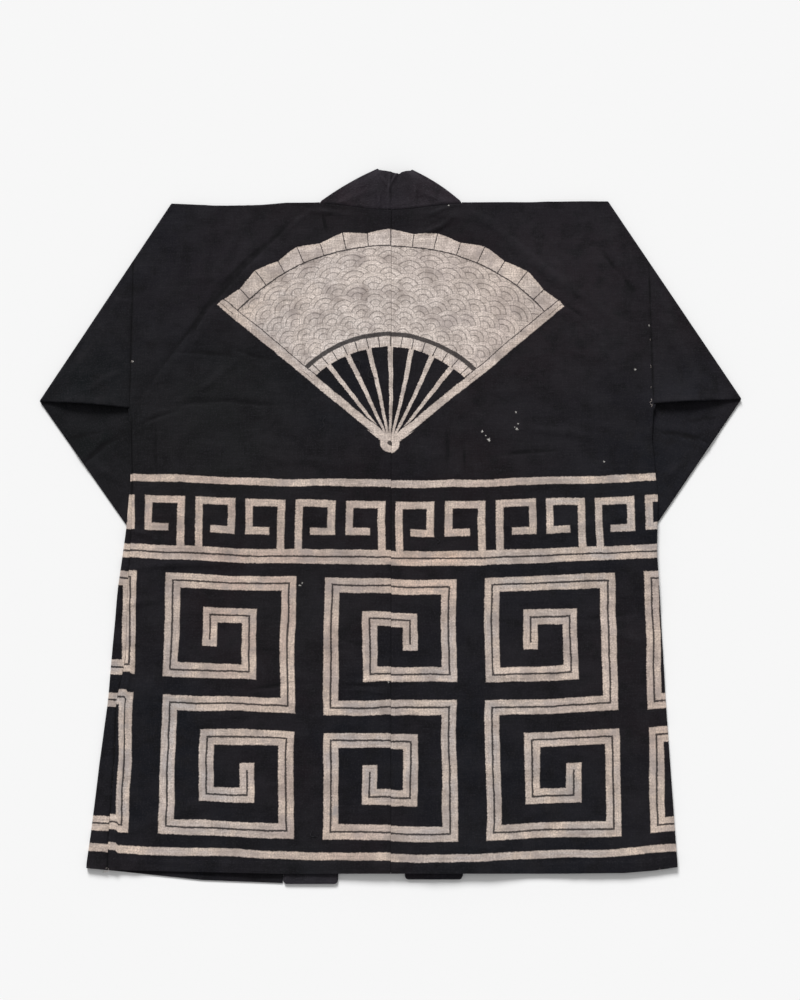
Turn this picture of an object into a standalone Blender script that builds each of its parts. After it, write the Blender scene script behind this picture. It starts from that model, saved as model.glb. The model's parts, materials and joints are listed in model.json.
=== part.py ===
"""Happi coat (hanten) lying face down, its back up and both sleeves folded under.

Frame: metres, +Z up, X across the back, +Y toward the collar, underside on z = 0.
"out" is a distance from the centre line to either side. "left" is the side of -X.

Each piece of cloth is first laid out with the sleeves straight out, two layers deep,
the front below and the back above. settle() then folds each sleeve under along a
slanting line, and lets the body sink from the folded sleeves to the surface.
"""

import math

import bmesh
import bpy
import numpy as np

# Cloth thickness, and the space kept at a seam and between layers
CLOTH = 0.0010
GAP = 0.0003
PITCH = CLOTH + GAP
BAND = 0.0024

# Where a layer turns back on itself: the turn's middle radius and its furthest reach
TURN = PITCH / 2
REACH = TURN + CLOTH / 2
TURN_STEPS = 4
ROLL_STEPS = 3

# Heights of the sleeve folded under: the axis that it folds about, and what the body lies on
FOLDED = 2 * PITCH
FOLD_AXIS_Z = FOLDED - GAP / 2
FOLD_REACH = FOLDED - GAP / 2
FOLD_MIDDLE = PITCH
FOLD_STEPS = 4

# Body, from the photographed outline
HEM_Y = -0.4400
TOP_Y = 0.4040
CENTRE_SEAM_X = 0.0010
NECK_OUT = 0.0914
NECK_DROP = 0.0085
NECK_GAP = 0.0005
ARMHOLE_OUT = 0.3302
BAND_SEAM_AT_HEM = {"left": 0.1269, "right": 0.0866}
BAND_FREE_AT_HEM = {"left": 0.0616, "right": 0.0178}
BAND_END_Y = {"left": -0.4522, "right": -0.4470}

# Sleeves
SLEEVE_LENGTH = 0.3200
FOOT = {"left": (0.3277, 0.1310), "right": (0.3308, 0.1360)}
FOLD_START = {"left": (0.2835, 0.4040), "right": (0.2812, 0.4068)}
FOLD_TIP = {"left": (0.4418, 0.1400), "right": (0.4422, 0.1428)}
CUFF_RISE = 0.0280

# How far the cloth above keeps its height past a folded sleeve, and where it has come down
SLACK = 0.042
SETTLED = 0.102
BRIDGE = 0.0019
BRIDGE_SLACK = 0.030
BRIDGE_SETTLED = 0.090

# Below the armhole's foot the side edge turns over within ROLL_DEPTH. The hem's and the
# shoulder's curves fade out of the rows within HEM_BLEND and TOP_BLEND
ROLL_DEPTH = 0.020
HEM_BLEND = 0.150
TOP_BLEND = 0.060

# Collar: the slanting fold at each side of the neck, and the loft of its free edge
COLLAR_TURN = (BAND + GAP) / 2
COLLAR_REACH = COLLAR_TURN + BAND / 2
COLLAR_FOLD_START = (0.0916, 0.4066)
COLLAR_PEAK = {"left": (-0.0167, 0.4523), "right": (0.0274, 0.4510)}
COLLAR_FOLD_BOW = {"left": 0.0026, "right": 0.0030}
COLLAR_LOFT = 0.0060

# Mesh steps
ROW_STEP = 0.031
ROLL_ROWS = 4
MAIN_STEPS = 8
NECK_STEPS = 4
SLEEVE_STEPS = 10
LAYER_STEPS = 8
BAND_STEPS = 3
NECK_SECTIONS = 2 * NECK_STEPS
SIGN = {"left": -1.0, "right": 1.0}

INDIGO = (0.0152, 0.0144, 0.0168)
INDIGO_BAND = (0.0168, 0.0152, 0.0180)


def table(columns, *rows):
    """A short table as a dictionary of named columns."""
    return dict(zip(columns.split(), np.array(rows, float).T))


SHOULDER = table(
    "x y",
    (-0.283, 0.4040),
    (-0.224, 0.4010),
    (-0.175, 0.4020),
    (-0.135, 0.4050),
    (-0.091, 0.4055),
    (0.091, 0.4055),
    (0.190, 0.4065),
    (0.281, 0.4070),
)
BACK_HEM = table(
    "x y",
    (-0.337, -0.4360),
    (-0.135, -0.4403),
    (0.202, -0.4403),
    (0.279, -0.4395),
    (0.313, -0.4367),
    (0.342, -0.4326),
)
FRONT_HEM = table(
    "x y",
    (-0.361, -0.4337),
    (-0.329, -0.4367),
    (-0.223, -0.4476),
    (-0.129, -0.4511),
    (0.086, -0.4390),
    (0.342, -0.4310),
)
# out: the side's furthest reach; wrap: how far the lower or upper cloth goes on round it
SIDE = {
    "left": table(
        "y out wrap",
        (-0.434, 0.3605, 0.024),
        (-0.401, 0.3572, 0.020),
        (-0.310, 0.3496, 0.016),
        (-0.235, 0.3421, 0.009),
        (-0.185, 0.3396, 0.016),
        (-0.099, 0.3347, 0.011),
        (-0.024, 0.3267, 0.005),
        (0.044, 0.3234, 0.001),
        (0.131, 0.3277, 0.001),
    ),
    "right": table(
        "y out wrap",
        (-0.433, 0.3416, 0.012),
        (-0.320, 0.3375, 0.012),
        (-0.235, 0.3343, 0.012),
        (-0.129, 0.3316, 0.012),
        (-0.050, 0.3292, 0.010),
        (0.016, 0.3325, 0.006),
        (0.089, 0.3273, 0.002),
        (0.136, 0.3308, 0.001),
    ),
}
# The collar's wavy free edge behind the neck
COLLAR_TOP = table(
    "x y lift",
    (-0.0167, 0.4523, 0.000),
    (-0.0101, 0.4477, 0.002),
    (-0.0049, 0.4458, 0.002),
    (0.0028, 0.4434, 0.001),
    (0.0106, 0.4415, 0.000),
    (0.0145, 0.4440, 0.002),
    (0.0195, 0.4460, 0.003),
    (0.0274, 0.4510, 0.000),
)
# The largest folds: middle, half length, half width, rise, turn from X in degrees, and
# whether both layers rise or the back alone
FOLDS = table(
    "x y long wide rise turn both",
    (0.055, -0.445, 0.075, 0.060, 0.0045, 0, 0),
    (0.262, -0.440, 0.055, 0.050, 0.0035, 0, 0),
    (0.335, -0.432, 0.030, 0.040, 0.0020, 0, 0),
    (-0.345, -0.432, 0.030, 0.040, 0.0020, 0, 0),
    (-0.190, 0.290, 0.130, 0.020, 0.0016, 46, 0),
    (-0.205, 0.120, 0.085, 0.018, 0.0014, 5, 0),
    (0.060, -0.225, 0.070, 0.022, 0.0014, 12, 0),
    (0.190, 0.330, 0.090, 0.024, 0.0012, -38, 0),
    (-0.382, 0.136, 0.042, 0.020, 0.0040, -4, 1),
    (0.366, 0.138, 0.042, 0.020, 0.0040, 4, 1),
)
# Near the sleeve's folding line the folds fade out within this distance
FOLD_FADE = 0.030


def look_up(rows, column, key, value):
    return float(np.interp(value, rows[key], rows[column]))


def ease(value, start, end):
    """0 before start and 1 after end, with a smooth slope between."""
    t = min(max((value - start) / (end - start), 0.0), 1.0)
    return t * t * (3 - 2 * t)


def layer_height(angle):
    """Height of the middle of a layer turned by this angle from the lower to the upper."""
    return CLOTH / 2 + TURN * (1 - math.cos(angle))


def shoulder_axis(x):
    return look_up(SHOULDER, "y", "x", x) - REACH


def neck_seam(x):
    """Y of the back's neck edge: a shallow scoop between the two neck points."""
    return TOP_Y - NECK_DROP * math.cos(math.pi * x / (2 * NECK_OUT)) ** 2


def band_seam(side, y):
    """Distance out of the seam between a front and its collar band."""
    down = (TOP_Y - y) / (TOP_Y - HEM_Y)
    return NECK_OUT + down * (BAND_SEAM_AT_HEM[side] - NECK_OUT)


def armhole(side, y):
    """Distance out of the seam between the body and its sleeve."""
    foot_out, foot_y = FOOT[side]
    return foot_out + (ARMHOLE_OUT - foot_out) * (y - foot_y) / (TOP_Y - foot_y)


def fold_frame(side):
    """Start of the sleeve's folding axis, its direction, and the way outward from it."""
    start = np.array(FOLD_START[side])
    along = np.array(FOLD_TIP[side]) - start
    along /= np.linalg.norm(along)
    outward = np.array([-along[1], along[0]])
    return start - FOLD_REACH * outward, along, outward


def sleeve_foot(side, out):
    """Y of the sleeve's lower edge, level near the body and rising toward the cuff."""
    foot_out, foot_y = FOOT[side]
    tip_out, tip_y = FOLD_TIP[side]
    outs = (foot_out, tip_out, foot_out + SLEEVE_LENGTH)
    return float(np.interp(out, outs, (foot_y, tip_y, tip_y + CUFF_RISE)))


def folded_outline(side):
    """Corners of the sleeve once folded under, in (out, y), each edge's outside to its left."""
    origin, _, outward = fold_frame(side)
    cuff_out = FOOT[side][0] + SLEEVE_LENGTH
    cuffs = [(cuff_out, TOP_Y), (cuff_out, sleeve_foot(side, cuff_out))]
    turned = [c - 2 * np.dot(c - origin, outward) * outward for c in map(np.array, cuffs)]
    return [np.array(FOLD_START[side]), *turned, np.array(FOLD_TIP[side])]


OUTLINES = {side: folded_outline(side) for side in SIGN}


def outside(corners, point):
    """How far a point lies outside a convex outline, or below zero inside it."""
    middle = np.mean(corners, axis=0)
    furthest = -1.0
    for a, b in zip(corners, corners[1:] + corners[:1]):
        across = np.array([b[1] - a[1], a[0] - b[0]])
        across /= np.linalg.norm(across)
        if np.dot(middle - a, across) > 0:
            across = -across
        furthest = max(furthest, float(np.dot(point - a, across)))
    return furthest


def base(x, y):
    """Height of what the lower layer lies on: the folded sleeve, or the surface."""
    clear = 1.0
    for side, sign in SIGN.items():
        gap = outside(OUTLINES[side], np.array([sign * x, y]))
        clear *= ease(gap, SLACK, SETTLED)
    return FOLDED * (1 - clear)


def bridge(x, y):
    """How much more the back stands off where it crosses the collar's bands."""
    side = "left" if x < 0 else "right"
    past = abs(x) - band_seam(side, y)
    return BRIDGE * (1 - ease(past, BRIDGE_SLACK, BRIDGE_SETTLED))


def folds(x, y, upper):
    """Rise of the largest folds, each a long soft mound; upper is 1 on the back's layer."""
    turn = np.radians(FOLDS["turn"])
    dx, dy = x - FOLDS["x"], y - FOLDS["y"]
    along = (dx * np.cos(turn) + dy * np.sin(turn)) / FOLDS["long"]
    across = (dy * np.cos(turn) - dx * np.sin(turn)) / FOLDS["wide"]
    share = np.maximum(FOLDS["both"], upper)
    return float((share * FOLDS["rise"] * np.exp(-(along**2) - across**2)).sum())


def settle(x, y, z):
    """Moves a point of the flat lay-out to where the folded coat has it."""
    side = "left" if x < 0 else "right"
    sign = SIGN[side]
    origin, _, outward = fold_frame(side)
    past = float(np.dot(np.array([sign * x, y]) - origin, outward))
    if past <= 0:
        upper = ease(z, CLOTH, PITCH)
        fold = ease(-past, 0, FOLD_FADE) * folds(x, y, upper)
        return x, y, z + base(x, y) + upper * bridge(x, y) + fold
    angle = min(past / FOLD_MIDDLE, math.pi)
    beyond = max(past - math.pi * FOLD_MIDDLE, 0.0)
    above = z + FOLDED - FOLD_AXIS_Z
    shift = above * math.sin(angle) - beyond - past
    x += sign * outward[0] * shift
    y += outward[1] * shift
    return x, y, FOLD_AXIS_Z + above * math.cos(angle)


def cloth_mesh(middle, normal, cells, thick, ring=False):
    """Closed wall round a grid of middle points.

    middle and normal are (rows, columns, 3), cells says which quads there are, and ring
    joins the last column to the first.
    """
    columns = middle.shape[1]
    bm = bmesh.new()
    points = {way: middle + way * thick / 2 * normal for way in (1, -1)}
    made = {}

    def vertex(way, j, i):
        i = i % columns if ring else i
        if (way, j, i) not in made:
            made[way, j, i] = bm.verts.new(points[way][j, i])
        return made[way, j, i]

    edges = {}
    for j, i in zip(*np.nonzero(cells)):
        corners = [(j, i), (j, i + 1), (j + 1, i + 1), (j + 1, i)]
        bm.faces.new([vertex(1, *c) for c in corners])
        bm.faces.new([vertex(-1, *c) for c in reversed(corners)])
        for a, b in zip(corners, corners[1:] + corners[:1]):
            a, b = ((c[0], c[1] % columns if ring else c[1]) for c in (a, b))
            if (b, a) in edges:
                del edges[b, a]
            else:
                edges[a, b] = True
    for a, b in edges:
        bm.faces.new([vertex(1, *b), vertex(1, *a), vertex(-1, *a), vertex(-1, *b)])
    return bm


def fold_and_settle(bm, side):
    """Cuts a flat piece along the lines of its sleeve fold, then settles every point."""
    sign = SIGN[side]
    origin, _, outward = fold_frame(side)
    way = (sign * outward[0], outward[1], 0)
    for step in range(FOLD_STEPS + 1):
        past = step * math.pi * FOLD_MIDDLE / FOLD_STEPS
        out, y = origin + past * outward
        everything = bm.verts[:] + bm.edges[:] + bm.faces[:]
        at = (sign * out, y, 0)
        bmesh.ops.bisect_plane(bm, geom=everything, dist=1e-7, plane_co=at, plane_no=way)
    bmesh.ops.triangulate(bm, faces=bm.faces[:])
    for vert in bm.verts:
        vert.co = settle(*vert.co)


def finish_piece(name, bm, colour, roughness):
    """Makes the object, with its faces pointing out and a material of its own."""
    if bm.calc_volume(signed=True) < 0:
        bmesh.ops.reverse_faces(bm, faces=bm.faces[:])
    mesh = bpy.data.meshes.new(name)
    bm.to_mesh(mesh)
    bm.free()
    mesh.shade_smooth()
    mesh.set_sharp_from_angle(angle=math.radians(35))
    obj = bpy.data.objects.new(name, mesh)
    bpy.context.scene.collection.objects.link(obj)
    material = bpy.data.materials.new(name + "_cotton")
    material.use_nodes = True
    shader = material.node_tree.nodes["Principled BSDF"]
    shader.inputs["Base Color"].default_value = (*colour, 1)
    shader.inputs["Roughness"].default_value = roughness
    shader.inputs["Metallic"].default_value = 0
    mesh.materials.append(material)
    return obj


def row_heights(side):
    """Y of the body's rows, from the hem to the shoulder, closer below the armhole."""
    foot_y = FOOT[side][1]
    roll_end = foot_y - ROLL_DEPTH
    below = np.linspace(HEM_Y, roll_end, 1 + round((roll_end - HEM_Y) / ROW_STEP))
    rolling = np.linspace(roll_end, foot_y, 1 + ROLL_ROWS)[1:]
    above = np.linspace(foot_y, TOP_Y, 1 + round((TOP_Y - foot_y) / ROW_STEP))[1:]
    return np.concatenate([below, rolling, above]), len(below) + ROLL_ROWS - 1


def side_roll(side, y):
    """How much of its half turn the side's edge has made: none at the armhole's foot."""
    return 1 - min(max((y - FOOT[side][1] + ROLL_DEPTH) / ROLL_DEPTH, 0.0), 1.0)


def panel_end(side, y):
    """Distance out where both layers' shared columns end: the armhole or the side seam."""
    if y >= FOOT[side][1]:
        return armhole(side, y) - GAP / 2
    seam = look_up(SIDE[side], "out", "y", y) - REACH - look_up(SIDE[side], "wrap", "y", y)
    free = FOOT[side][0] - GAP / 2
    return free + side_roll(side, y) * (seam - GAP - free)


def round_the_side(side, y, distance):
    """(out, angle) of a point this far along the cloth from the start of the side's turn."""
    axis = look_up(SIDE[side], "out", "y", y) - REACH
    angle = min(max(distance / TURN, 0.0), side_roll(side, y) * math.pi)
    beyond = distance - angle * TURN
    turned = angle > 0 and side_roll(side, y) > 0
    flat = math.cos(angle) * beyond if turned else beyond
    return axis + TURN * math.sin(angle) + flat, angle


def body_piece(side):
    """One loom width from the back hem over the shoulder to the front hem."""
    sign = SIGN[side]
    heights, foot_row = row_heights(side)
    start = sign * CENTRE_SEAM_X + GAP / 2
    wraps_front = side == "left"
    turn = [k * math.pi / TURN_STEPS for k in range(1, TURN_STEPS)]
    rows = [("back", y, 0.0) for y in heights]
    rows += [("turn", TOP_Y, angle) for angle in turn]
    rows += [("front", y, 0.0) for y in heights[::-1]]
    main = NECK_STEPS + MAIN_STEPS
    columns = main + 1 + ROLL_STEPS + 2
    middle = np.zeros((len(rows), columns, 3))
    normal = np.zeros_like(middle)
    for j, (layer, level, angle) in enumerate(rows):
        seam = band_seam(side, level) + GAP
        end = panel_end(side, level)
        for i in range(columns):
            if i < NECK_STEPS:
                out, side_angle = start + (seam - start) * i / NECK_STEPS, 0.0
            elif i <= main:
                out, side_angle = seam + (end - seam) * (i - NECK_STEPS) / MAIN_STEPS, 0.0
            else:
                wrap = look_up(SIDE[side], "wrap", "y", level)
                step = i - main - 1
                distance = min(step, ROLL_STEPS) * math.pi * TURN / ROLL_STEPS
                distance += wrap * max(step - ROLL_STEPS, 0)
                out, side_angle = round_the_side(side, level, distance)
            x = sign * out
            top = shoulder_axis(x) if i >= NECK_STEPS else neck_seam(x) - NECK_GAP
            hem = look_up(FRONT_HEM if layer == "front" else BACK_HEM, "y", "x", x)
            near_top = 1 - ease(TOP_Y - level, 0, TOP_BLEND)
            near_hem = 1 - ease(level - HEM_Y, 0, HEM_BLEND)
            y = level + (top - TOP_Y) * near_top + (hem - HEM_Y) * near_hem
            if i > main and level >= FOOT[side][1]:
                y -= 3 * GAP
            if layer == "turn":
                y += TURN * math.sin(angle)
                z = layer_height(math.pi - angle)
                facing = (0, math.sin(angle), math.cos(angle))
            else:
                turned = side_angle if layer == "front" else math.pi - side_angle
                z = layer_height(turned)
                facing = (sign * math.sin(turned), 0, -math.cos(turned))
            middle[j, i] = (x, y, z)
            normal[j, i] = facing
    cells = np.zeros((len(rows) - 1, columns - 1), bool)
    back_rows = len(heights) - 1
    cells[:, NECK_STEPS:main] = True
    cells[:back_rows, :NECK_STEPS] = True
    if wraps_front:
        cells[len(cells) - foot_row :, main:] = True
    else:
        cells[:foot_row, main:] = True
    return cloth_mesh(middle, normal, cells, CLOTH)


def sleeve_piece(side):
    """Flattened tube from the armhole to the cuff, folded at the top and sewn below."""
    sign = SIGN[side]
    layer = np.linspace(0, 1, LAYER_STEPS + 1)
    turn = [k * math.pi / TURN_STEPS for k in range(1, TURN_STEPS)]
    loop = [("upper", share, math.pi) for share in layer]
    loop += [("top", 1.0, math.pi - angle) for angle in turn]
    loop += [("lower", share, 0.0) for share in layer[::-1]]
    loop += [("foot", 0.0, angle) for angle in turn]
    middle = np.zeros((SLEEVE_STEPS + 1, len(loop), 3))
    normal = np.zeros_like(middle)
    for j in range(SLEEVE_STEPS + 1):
        for i, (part, share, angle) in enumerate(loop):
            rough_out = FOOT[side][0] + SLEEVE_LENGTH * j / SLEEVE_STEPS
            low = sleeve_foot(side, rough_out) + REACH
            high = shoulder_axis(sign * rough_out)
            y = low + (high - low) * share
            out = armhole(side, y) + GAP / 2 + SLEEVE_LENGTH * j / SLEEVE_STEPS
            bulge = {"top": 1, "foot": -1}.get(part, 0) * math.sin(angle)
            middle[j, i] = (sign * out, y + TURN * bulge, layer_height(angle))
            normal[j, i] = (0, bulge, -math.cos(angle))
    cells = np.ones((SLEEVE_STEPS, len(loop)), bool)
    return cloth_mesh(middle, normal, cells, CLOTH, ring=True)


def collar_fold(side, share):
    """Point of the axis that the band folds over, from its seam edge to its free edge."""
    sign = SIGN[side]
    start = np.array([sign * COLLAR_FOLD_START[0], COLLAR_FOLD_START[1]])
    along = np.array(COLLAR_PEAK[side]) - start
    length = np.linalg.norm(along)
    along /= length
    outward = np.array([-along[1], along[0]]) * -sign
    bow = COLLAR_FOLD_BOW[side] * math.sin(math.pi * share)
    return start + along * length * share + outward * (bow - COLLAR_REACH), outward


def collar_sections():
    """The band's sections from its left end round the neck to its right end.

    Each gives, for every share across the band, its middle point and its outer side's
    direction: the side that faces down along the fronts faces up round the neck.
    """
    shares = np.linspace(0, 1, BAND_STEPS + 1)
    steps = round((TOP_Y - HEM_Y) / ROW_STEP)
    turn = [k * math.pi / TURN_STEPS for k in range(TURN_STEPS + 1)]
    low, high = BAND / 2, BAND / 2 + 2 * COLLAR_TURN

    def front(side, down):
        sign = SIGN[side]
        section = []
        for share in shares:
            at, _ = collar_fold(side, share)
            seam, free = BAND_SEAM_AT_HEM[side], BAND_FREE_AT_HEM[side]
            end = np.array([sign * (seam + (free - seam) * share), BAND_END_Y[side]])
            x, y = at + (end - at) * down
            section.append(((x, y, low), (0, 0, -1)))
        return section

    def folded(side, angle):
        section = []
        for share in shares:
            at, outward = collar_fold(side, share)
            x, y = at + outward * COLLAR_TURN * math.sin(angle)
            z = low + COLLAR_TURN * (1 - math.cos(angle))
            way = (*(outward * math.sin(angle)), -math.cos(angle))
            section.append(((x, y, z), way))
        return section

    def neck(across):
        section = []
        x = -NECK_OUT + 2 * NECK_OUT * across
        top_x = COLLAR_TOP["x"][0] + (COLLAR_TOP["x"][-1] - COLLAR_TOP["x"][0]) * across
        top_y = look_up(COLLAR_TOP, "y", "x", top_x) - COLLAR_REACH * abs(2 * across - 1) ** 4
        lift = look_up(COLLAR_TOP, "lift", "x", top_x)
        for share in shares:
            crown = COLLAR_LOFT * math.sin(math.pi * across) * math.sin(math.pi * share / 2) ** 2
            at = (
                x + (top_x - x) * share,
                neck_seam(x) + (top_y - neck_seam(x)) * share,
                high + crown + lift * share**2,
            )
            section.append((at, (0, 0, 1)))
        return section

    yield from (front("left", 1 - k / steps) for k in range(steps))
    yield from (folded("left", angle) for angle in turn)
    yield from (neck(k / NECK_SECTIONS) for k in range(1, NECK_SECTIONS))
    yield from (folded("right", angle) for angle in reversed(turn))
    yield from (front("right", (k + 1) / steps) for k in range(steps))


def collar_piece():
    """The doubled band: front ends below, folded over at the neck, and flat behind it."""
    sections = list(collar_sections())
    middle = np.array([[point for point, _ in section] for section in sections])
    normal = np.array([[way for _, way in section] for section in sections], float)
    cells = np.ones((len(sections) - 1, BAND_STEPS), bool)
    bm = cloth_mesh(middle, normal, cells, BAND)
    bmesh.ops.triangulate(bm, faces=bm.faces[:])
    for vert in bm.verts:
        vert.co.z += base(vert.co.x, vert.co.y)
    return bm


def main():
    for obj in list(bpy.data.objects):
        bpy.data.objects.remove(obj, do_unlink=True)
    for side in SIGN:
        body = body_piece(side)
        fold_and_settle(body, side)
        finish_piece("body_" + side, body, INDIGO, 0.85)
        sleeve = sleeve_piece(side)
        fold_and_settle(sleeve, side)
        finish_piece("sleeve_" + side, sleeve, INDIGO, 0.85)
    finish_piece("collar", collar_piece(), INDIGO_BAND, 0.85)


main()
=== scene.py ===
"""Happi coat (hanten) lying face down: its cloth, print, stitches and studio.

Lengths are metres in the frame's own axes: X across the back, Y toward the collar, Z up.
"out" is a distance from the centre line to either side, and "left" is the side of -X.
Each piece of cloth is a closed shell. It is worked out flat, with the sleeves straight out and
the front below the back, and settle() then folds the sleeves under, as in the solids.
"""

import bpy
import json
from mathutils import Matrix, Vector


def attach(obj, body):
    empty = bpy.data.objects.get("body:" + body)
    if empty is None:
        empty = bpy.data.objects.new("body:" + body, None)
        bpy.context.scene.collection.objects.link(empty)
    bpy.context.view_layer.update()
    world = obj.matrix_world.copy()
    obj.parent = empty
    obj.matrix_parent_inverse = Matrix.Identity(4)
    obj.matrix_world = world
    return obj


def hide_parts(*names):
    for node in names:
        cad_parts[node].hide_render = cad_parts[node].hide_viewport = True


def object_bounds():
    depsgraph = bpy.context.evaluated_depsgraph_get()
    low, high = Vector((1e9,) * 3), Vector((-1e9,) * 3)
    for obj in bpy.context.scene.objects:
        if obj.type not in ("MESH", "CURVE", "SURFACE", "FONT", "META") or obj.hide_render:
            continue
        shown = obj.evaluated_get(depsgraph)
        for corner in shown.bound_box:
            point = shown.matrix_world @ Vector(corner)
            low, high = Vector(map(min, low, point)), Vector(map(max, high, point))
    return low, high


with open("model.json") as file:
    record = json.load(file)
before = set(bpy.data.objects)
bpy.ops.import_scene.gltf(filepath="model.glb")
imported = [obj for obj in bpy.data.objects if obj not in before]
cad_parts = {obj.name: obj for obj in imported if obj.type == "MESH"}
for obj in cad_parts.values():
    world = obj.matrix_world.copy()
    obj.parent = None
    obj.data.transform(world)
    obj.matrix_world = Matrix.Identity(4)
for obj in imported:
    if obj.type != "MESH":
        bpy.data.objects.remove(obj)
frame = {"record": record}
CAD_BOX = [list(corner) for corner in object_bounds()]

import functools
import json
import math

import bmesh
import bpy
import numpy as np

bl_info = {
    "name": "Happi coat",
    "version": (1, 0, 0),
    "blender": (4, 5, 0),
    "location": "3D View > Sidebar > Happi coat",
    "description": "Makes an indigo cotton happi coat lying face down, with its studio",
    "category": "Object",
}

SLOT_COLOURS = {row["slot"]: row["base_color"] for row in frame["record"]["materials"]}

# Layers of cloth as the solids have them: thickness, pitch, and where a layer turns back
LAYER = 0.0010
GAP = 0.0003
PITCH = LAYER + GAP
TURN = PITCH / 2
REACH = TURN + LAYER / 2
BAND = 0.0024

# Heights of the sleeve folded under, and the turn of its fold
FOLDED = 2 * PITCH
FOLD_AXIS_Z = FOLDED - GAP / 2
FOLD_REACH = FOLDED - GAP / 2
FOLD_MIDDLE = PITCH

# Body
HEM_Y = -0.4400
TOP_Y = 0.4040
CENTRE_SEAM_X = 0.0010
NECK_OUT = 0.0914
NECK_DROP = 0.0085
NECK_GAP = 0.0005
ARMHOLE_OUT = 0.3302
BAND_SEAM_AT_HEM = {"left": 0.1269, "right": 0.0866}
BAND_FREE_AT_HEM = {"left": 0.0616, "right": 0.0178}
BAND_END_Y = {"left": -0.4522, "right": -0.4470}
ROLL_DEPTH = 0.020
HEM_BLEND = 0.150
TOP_BLEND = 0.060

# Sleeves, and how the cloth above comes down past a folded sleeve
SLEEVE_LENGTH = 0.3200
FOOT = {"left": (0.3277, 0.1310), "right": (0.3308, 0.1360)}
FOLD_START = {"left": (0.2835, 0.4040), "right": (0.2812, 0.4068)}
FOLD_TIP = {"left": (0.4418, 0.1400), "right": (0.4422, 0.1428)}
CUFF_RISE = 0.0280
SLACK = 0.042
SETTLED = 0.102
BRIDGE = 0.0019
BRIDGE_SLACK = 0.030
BRIDGE_SETTLED = 0.090
FOLD_FADE = 0.030

# Collar
COLLAR_TURN = (BAND + GAP) / 2
COLLAR_REACH = COLLAR_TURN + BAND / 2
COLLAR_FOLD_START = (0.0916, 0.4066)
COLLAR_PEAK = {"left": (-0.0167, 0.4523), "right": (0.0274, 0.4510)}
COLLAR_FOLD_BOW = {"left": 0.0026, "right": 0.0030}
COLLAR_LOFT = 0.0060
BAND_CORNER = 0.0045

# The slow swell that all layers share: its rise, its size, and the size of its own drift
SWELL = 0.00055
SWELL_SIZE = 0.115
SWELL_DRIFT = 0.31

# The back between its creases, in soft noise: its mean rise, the size and rise of its swells, and
# the size and reach of what bends its faint lines. A kind of line has its size, the shares of X
# and Y in it, its sharpness, the size and limits of the noise that says where it is, and its rise
CRUMPLE = 0.0007
CRUMPLE_SWELLS = ((0.048, 0.00065), (0.021, 0.00024))
CRUMPLE_BEND = (0.06, 0.012)
CRUMPLE_LINES = (
    (0.043, 0.55, 1.0, 2.2, 0.13, -0.1, 0.6, 0.00085),
    (0.024, 1.0, 0.6, 2.6, 0.09, 0.0, 0.5, 0.00055),
)

# Depth and half width of the sunken lines over the centre-back seam and over the others, and how
# far the right armhole's goes on below its foot
CENTRE_DIP = (0.00060, 0.0016)
SEAM_DIP = (0.0010, 0.0019)
ARMHOLE_END = 0.004

# The turned hem: where its step ends above the hem's edge, its rise, and the dip beyond it as a
# place, a depth and a half width
HEM_STEP = (0.0115, 0.0150)
HEM_RISE = 0.00045
HEM_DIP = (0.0148, 0.00025, 0.0018)
HEM_FOLD = 0.0135

# The pressed line inside the left side seam: how far in, its rise and half width, the limits in Y
# over which it fades out, and how far the print has slipped beyond it, around and up
TUCK_IN = 0.0095
TUCK = (0.0013, 0.0020)
TUCK_FADE = (-0.10, 0.02)
TUCK_SLIP = (0.0020, 0.0028)
TUCK_SLIP_FADE = (-0.06, -0.12)
TUCK_LINE = 0.001

# The turned-in cloth under the centre-back seam: half width, depth below the back, and how far
# it stops short of the hem and the neck
ALLOWANCE = 0.0085
ALLOWANCE_DEPTH = 0.00093
ALLOWANCE_SHORT = (0.0014, 0.0015)

# The rise that counts as a whole crease for the colour, with worn dye and painted highlight on
# ridges and painted shade in troughs and seams, and how steep a surface is where wear begins on an
# edge and where it is full
CREASE_RISE = 0.0010
WORN_EDGE = (0.36, 0.90)

# Spacing of the grids, one number to a stretch: metres for the body's rows, the sleeve's and the
# allowance's, and shares of the way for the others. A body's finer stretches end this far above
# the hem and below the top, and a sleeve's this far from the armhole and the cuff. HALF_TURN has
# the angles between two layers at a fold
HEM_STRETCHES = (0.004, 0.018)
TOP_STRETCH = 0.006
SLEEVE_STRETCHES = (0.008, 0.010)
BACK_ROWS = (0.001, 0.002, 0.0029, 0.002, 0.0029, 0.0015)
FRONT_ROWS = (0.002, 0.004, 0.0120, 0.002, 0.0120, 0.0020)
ALLOWANCE_ROWS = (0.0060,)
NECK_COLUMNS = ((0, 0.05, 1), (0.0125, 0.028))
PANEL_COLUMNS = ((0, 0.97, 1), (0.0122, 0.006))
SIDE_COLUMNS = 6
WRAP_COLUMNS = 7
SLEEVE_ROWS = (0.0015, 0.0036, 0.002)
SLEEVE_COLUMNS = ((0, 0.04, 0.97, 1), (0.010, 0.0128, 0.010))
BAND_COLUMNS = ((0, 0.97, 1), (0.032, 0.010))
BAND_ROWS = ((0, 0.05, 0.97, 1), (0.010, 0.02, 0.004))
NECK_SECTIONS = 113
BAND_FOLD_SECTIONS = 9
HALF_TURN = np.arange(1, 6) * math.pi / 6
FOLD_CUTS = 7

# Stitches: their length, how far apart, how far each row reaches in X, and the threads' radii
STITCH_LENGTH = 0.0022
HEM_STITCH_EVERY = 0.0085
HEM_STITCHES = (-0.328, 0.334)
SEAM_STITCH_EVERY = 0.0050
SEAM_STITCHES = (-0.0874, 0.0884)
SEAM_STITCH_IN = 0.0022
SEAM_STITCH_SLANT = 0.5
THREAD = 0.00022
THICK_THREAD = 1.3 * THREAD
FINE_THREAD = 0.55 * THREAD
CLOTH_TOP = PITCH + LAYER

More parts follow.
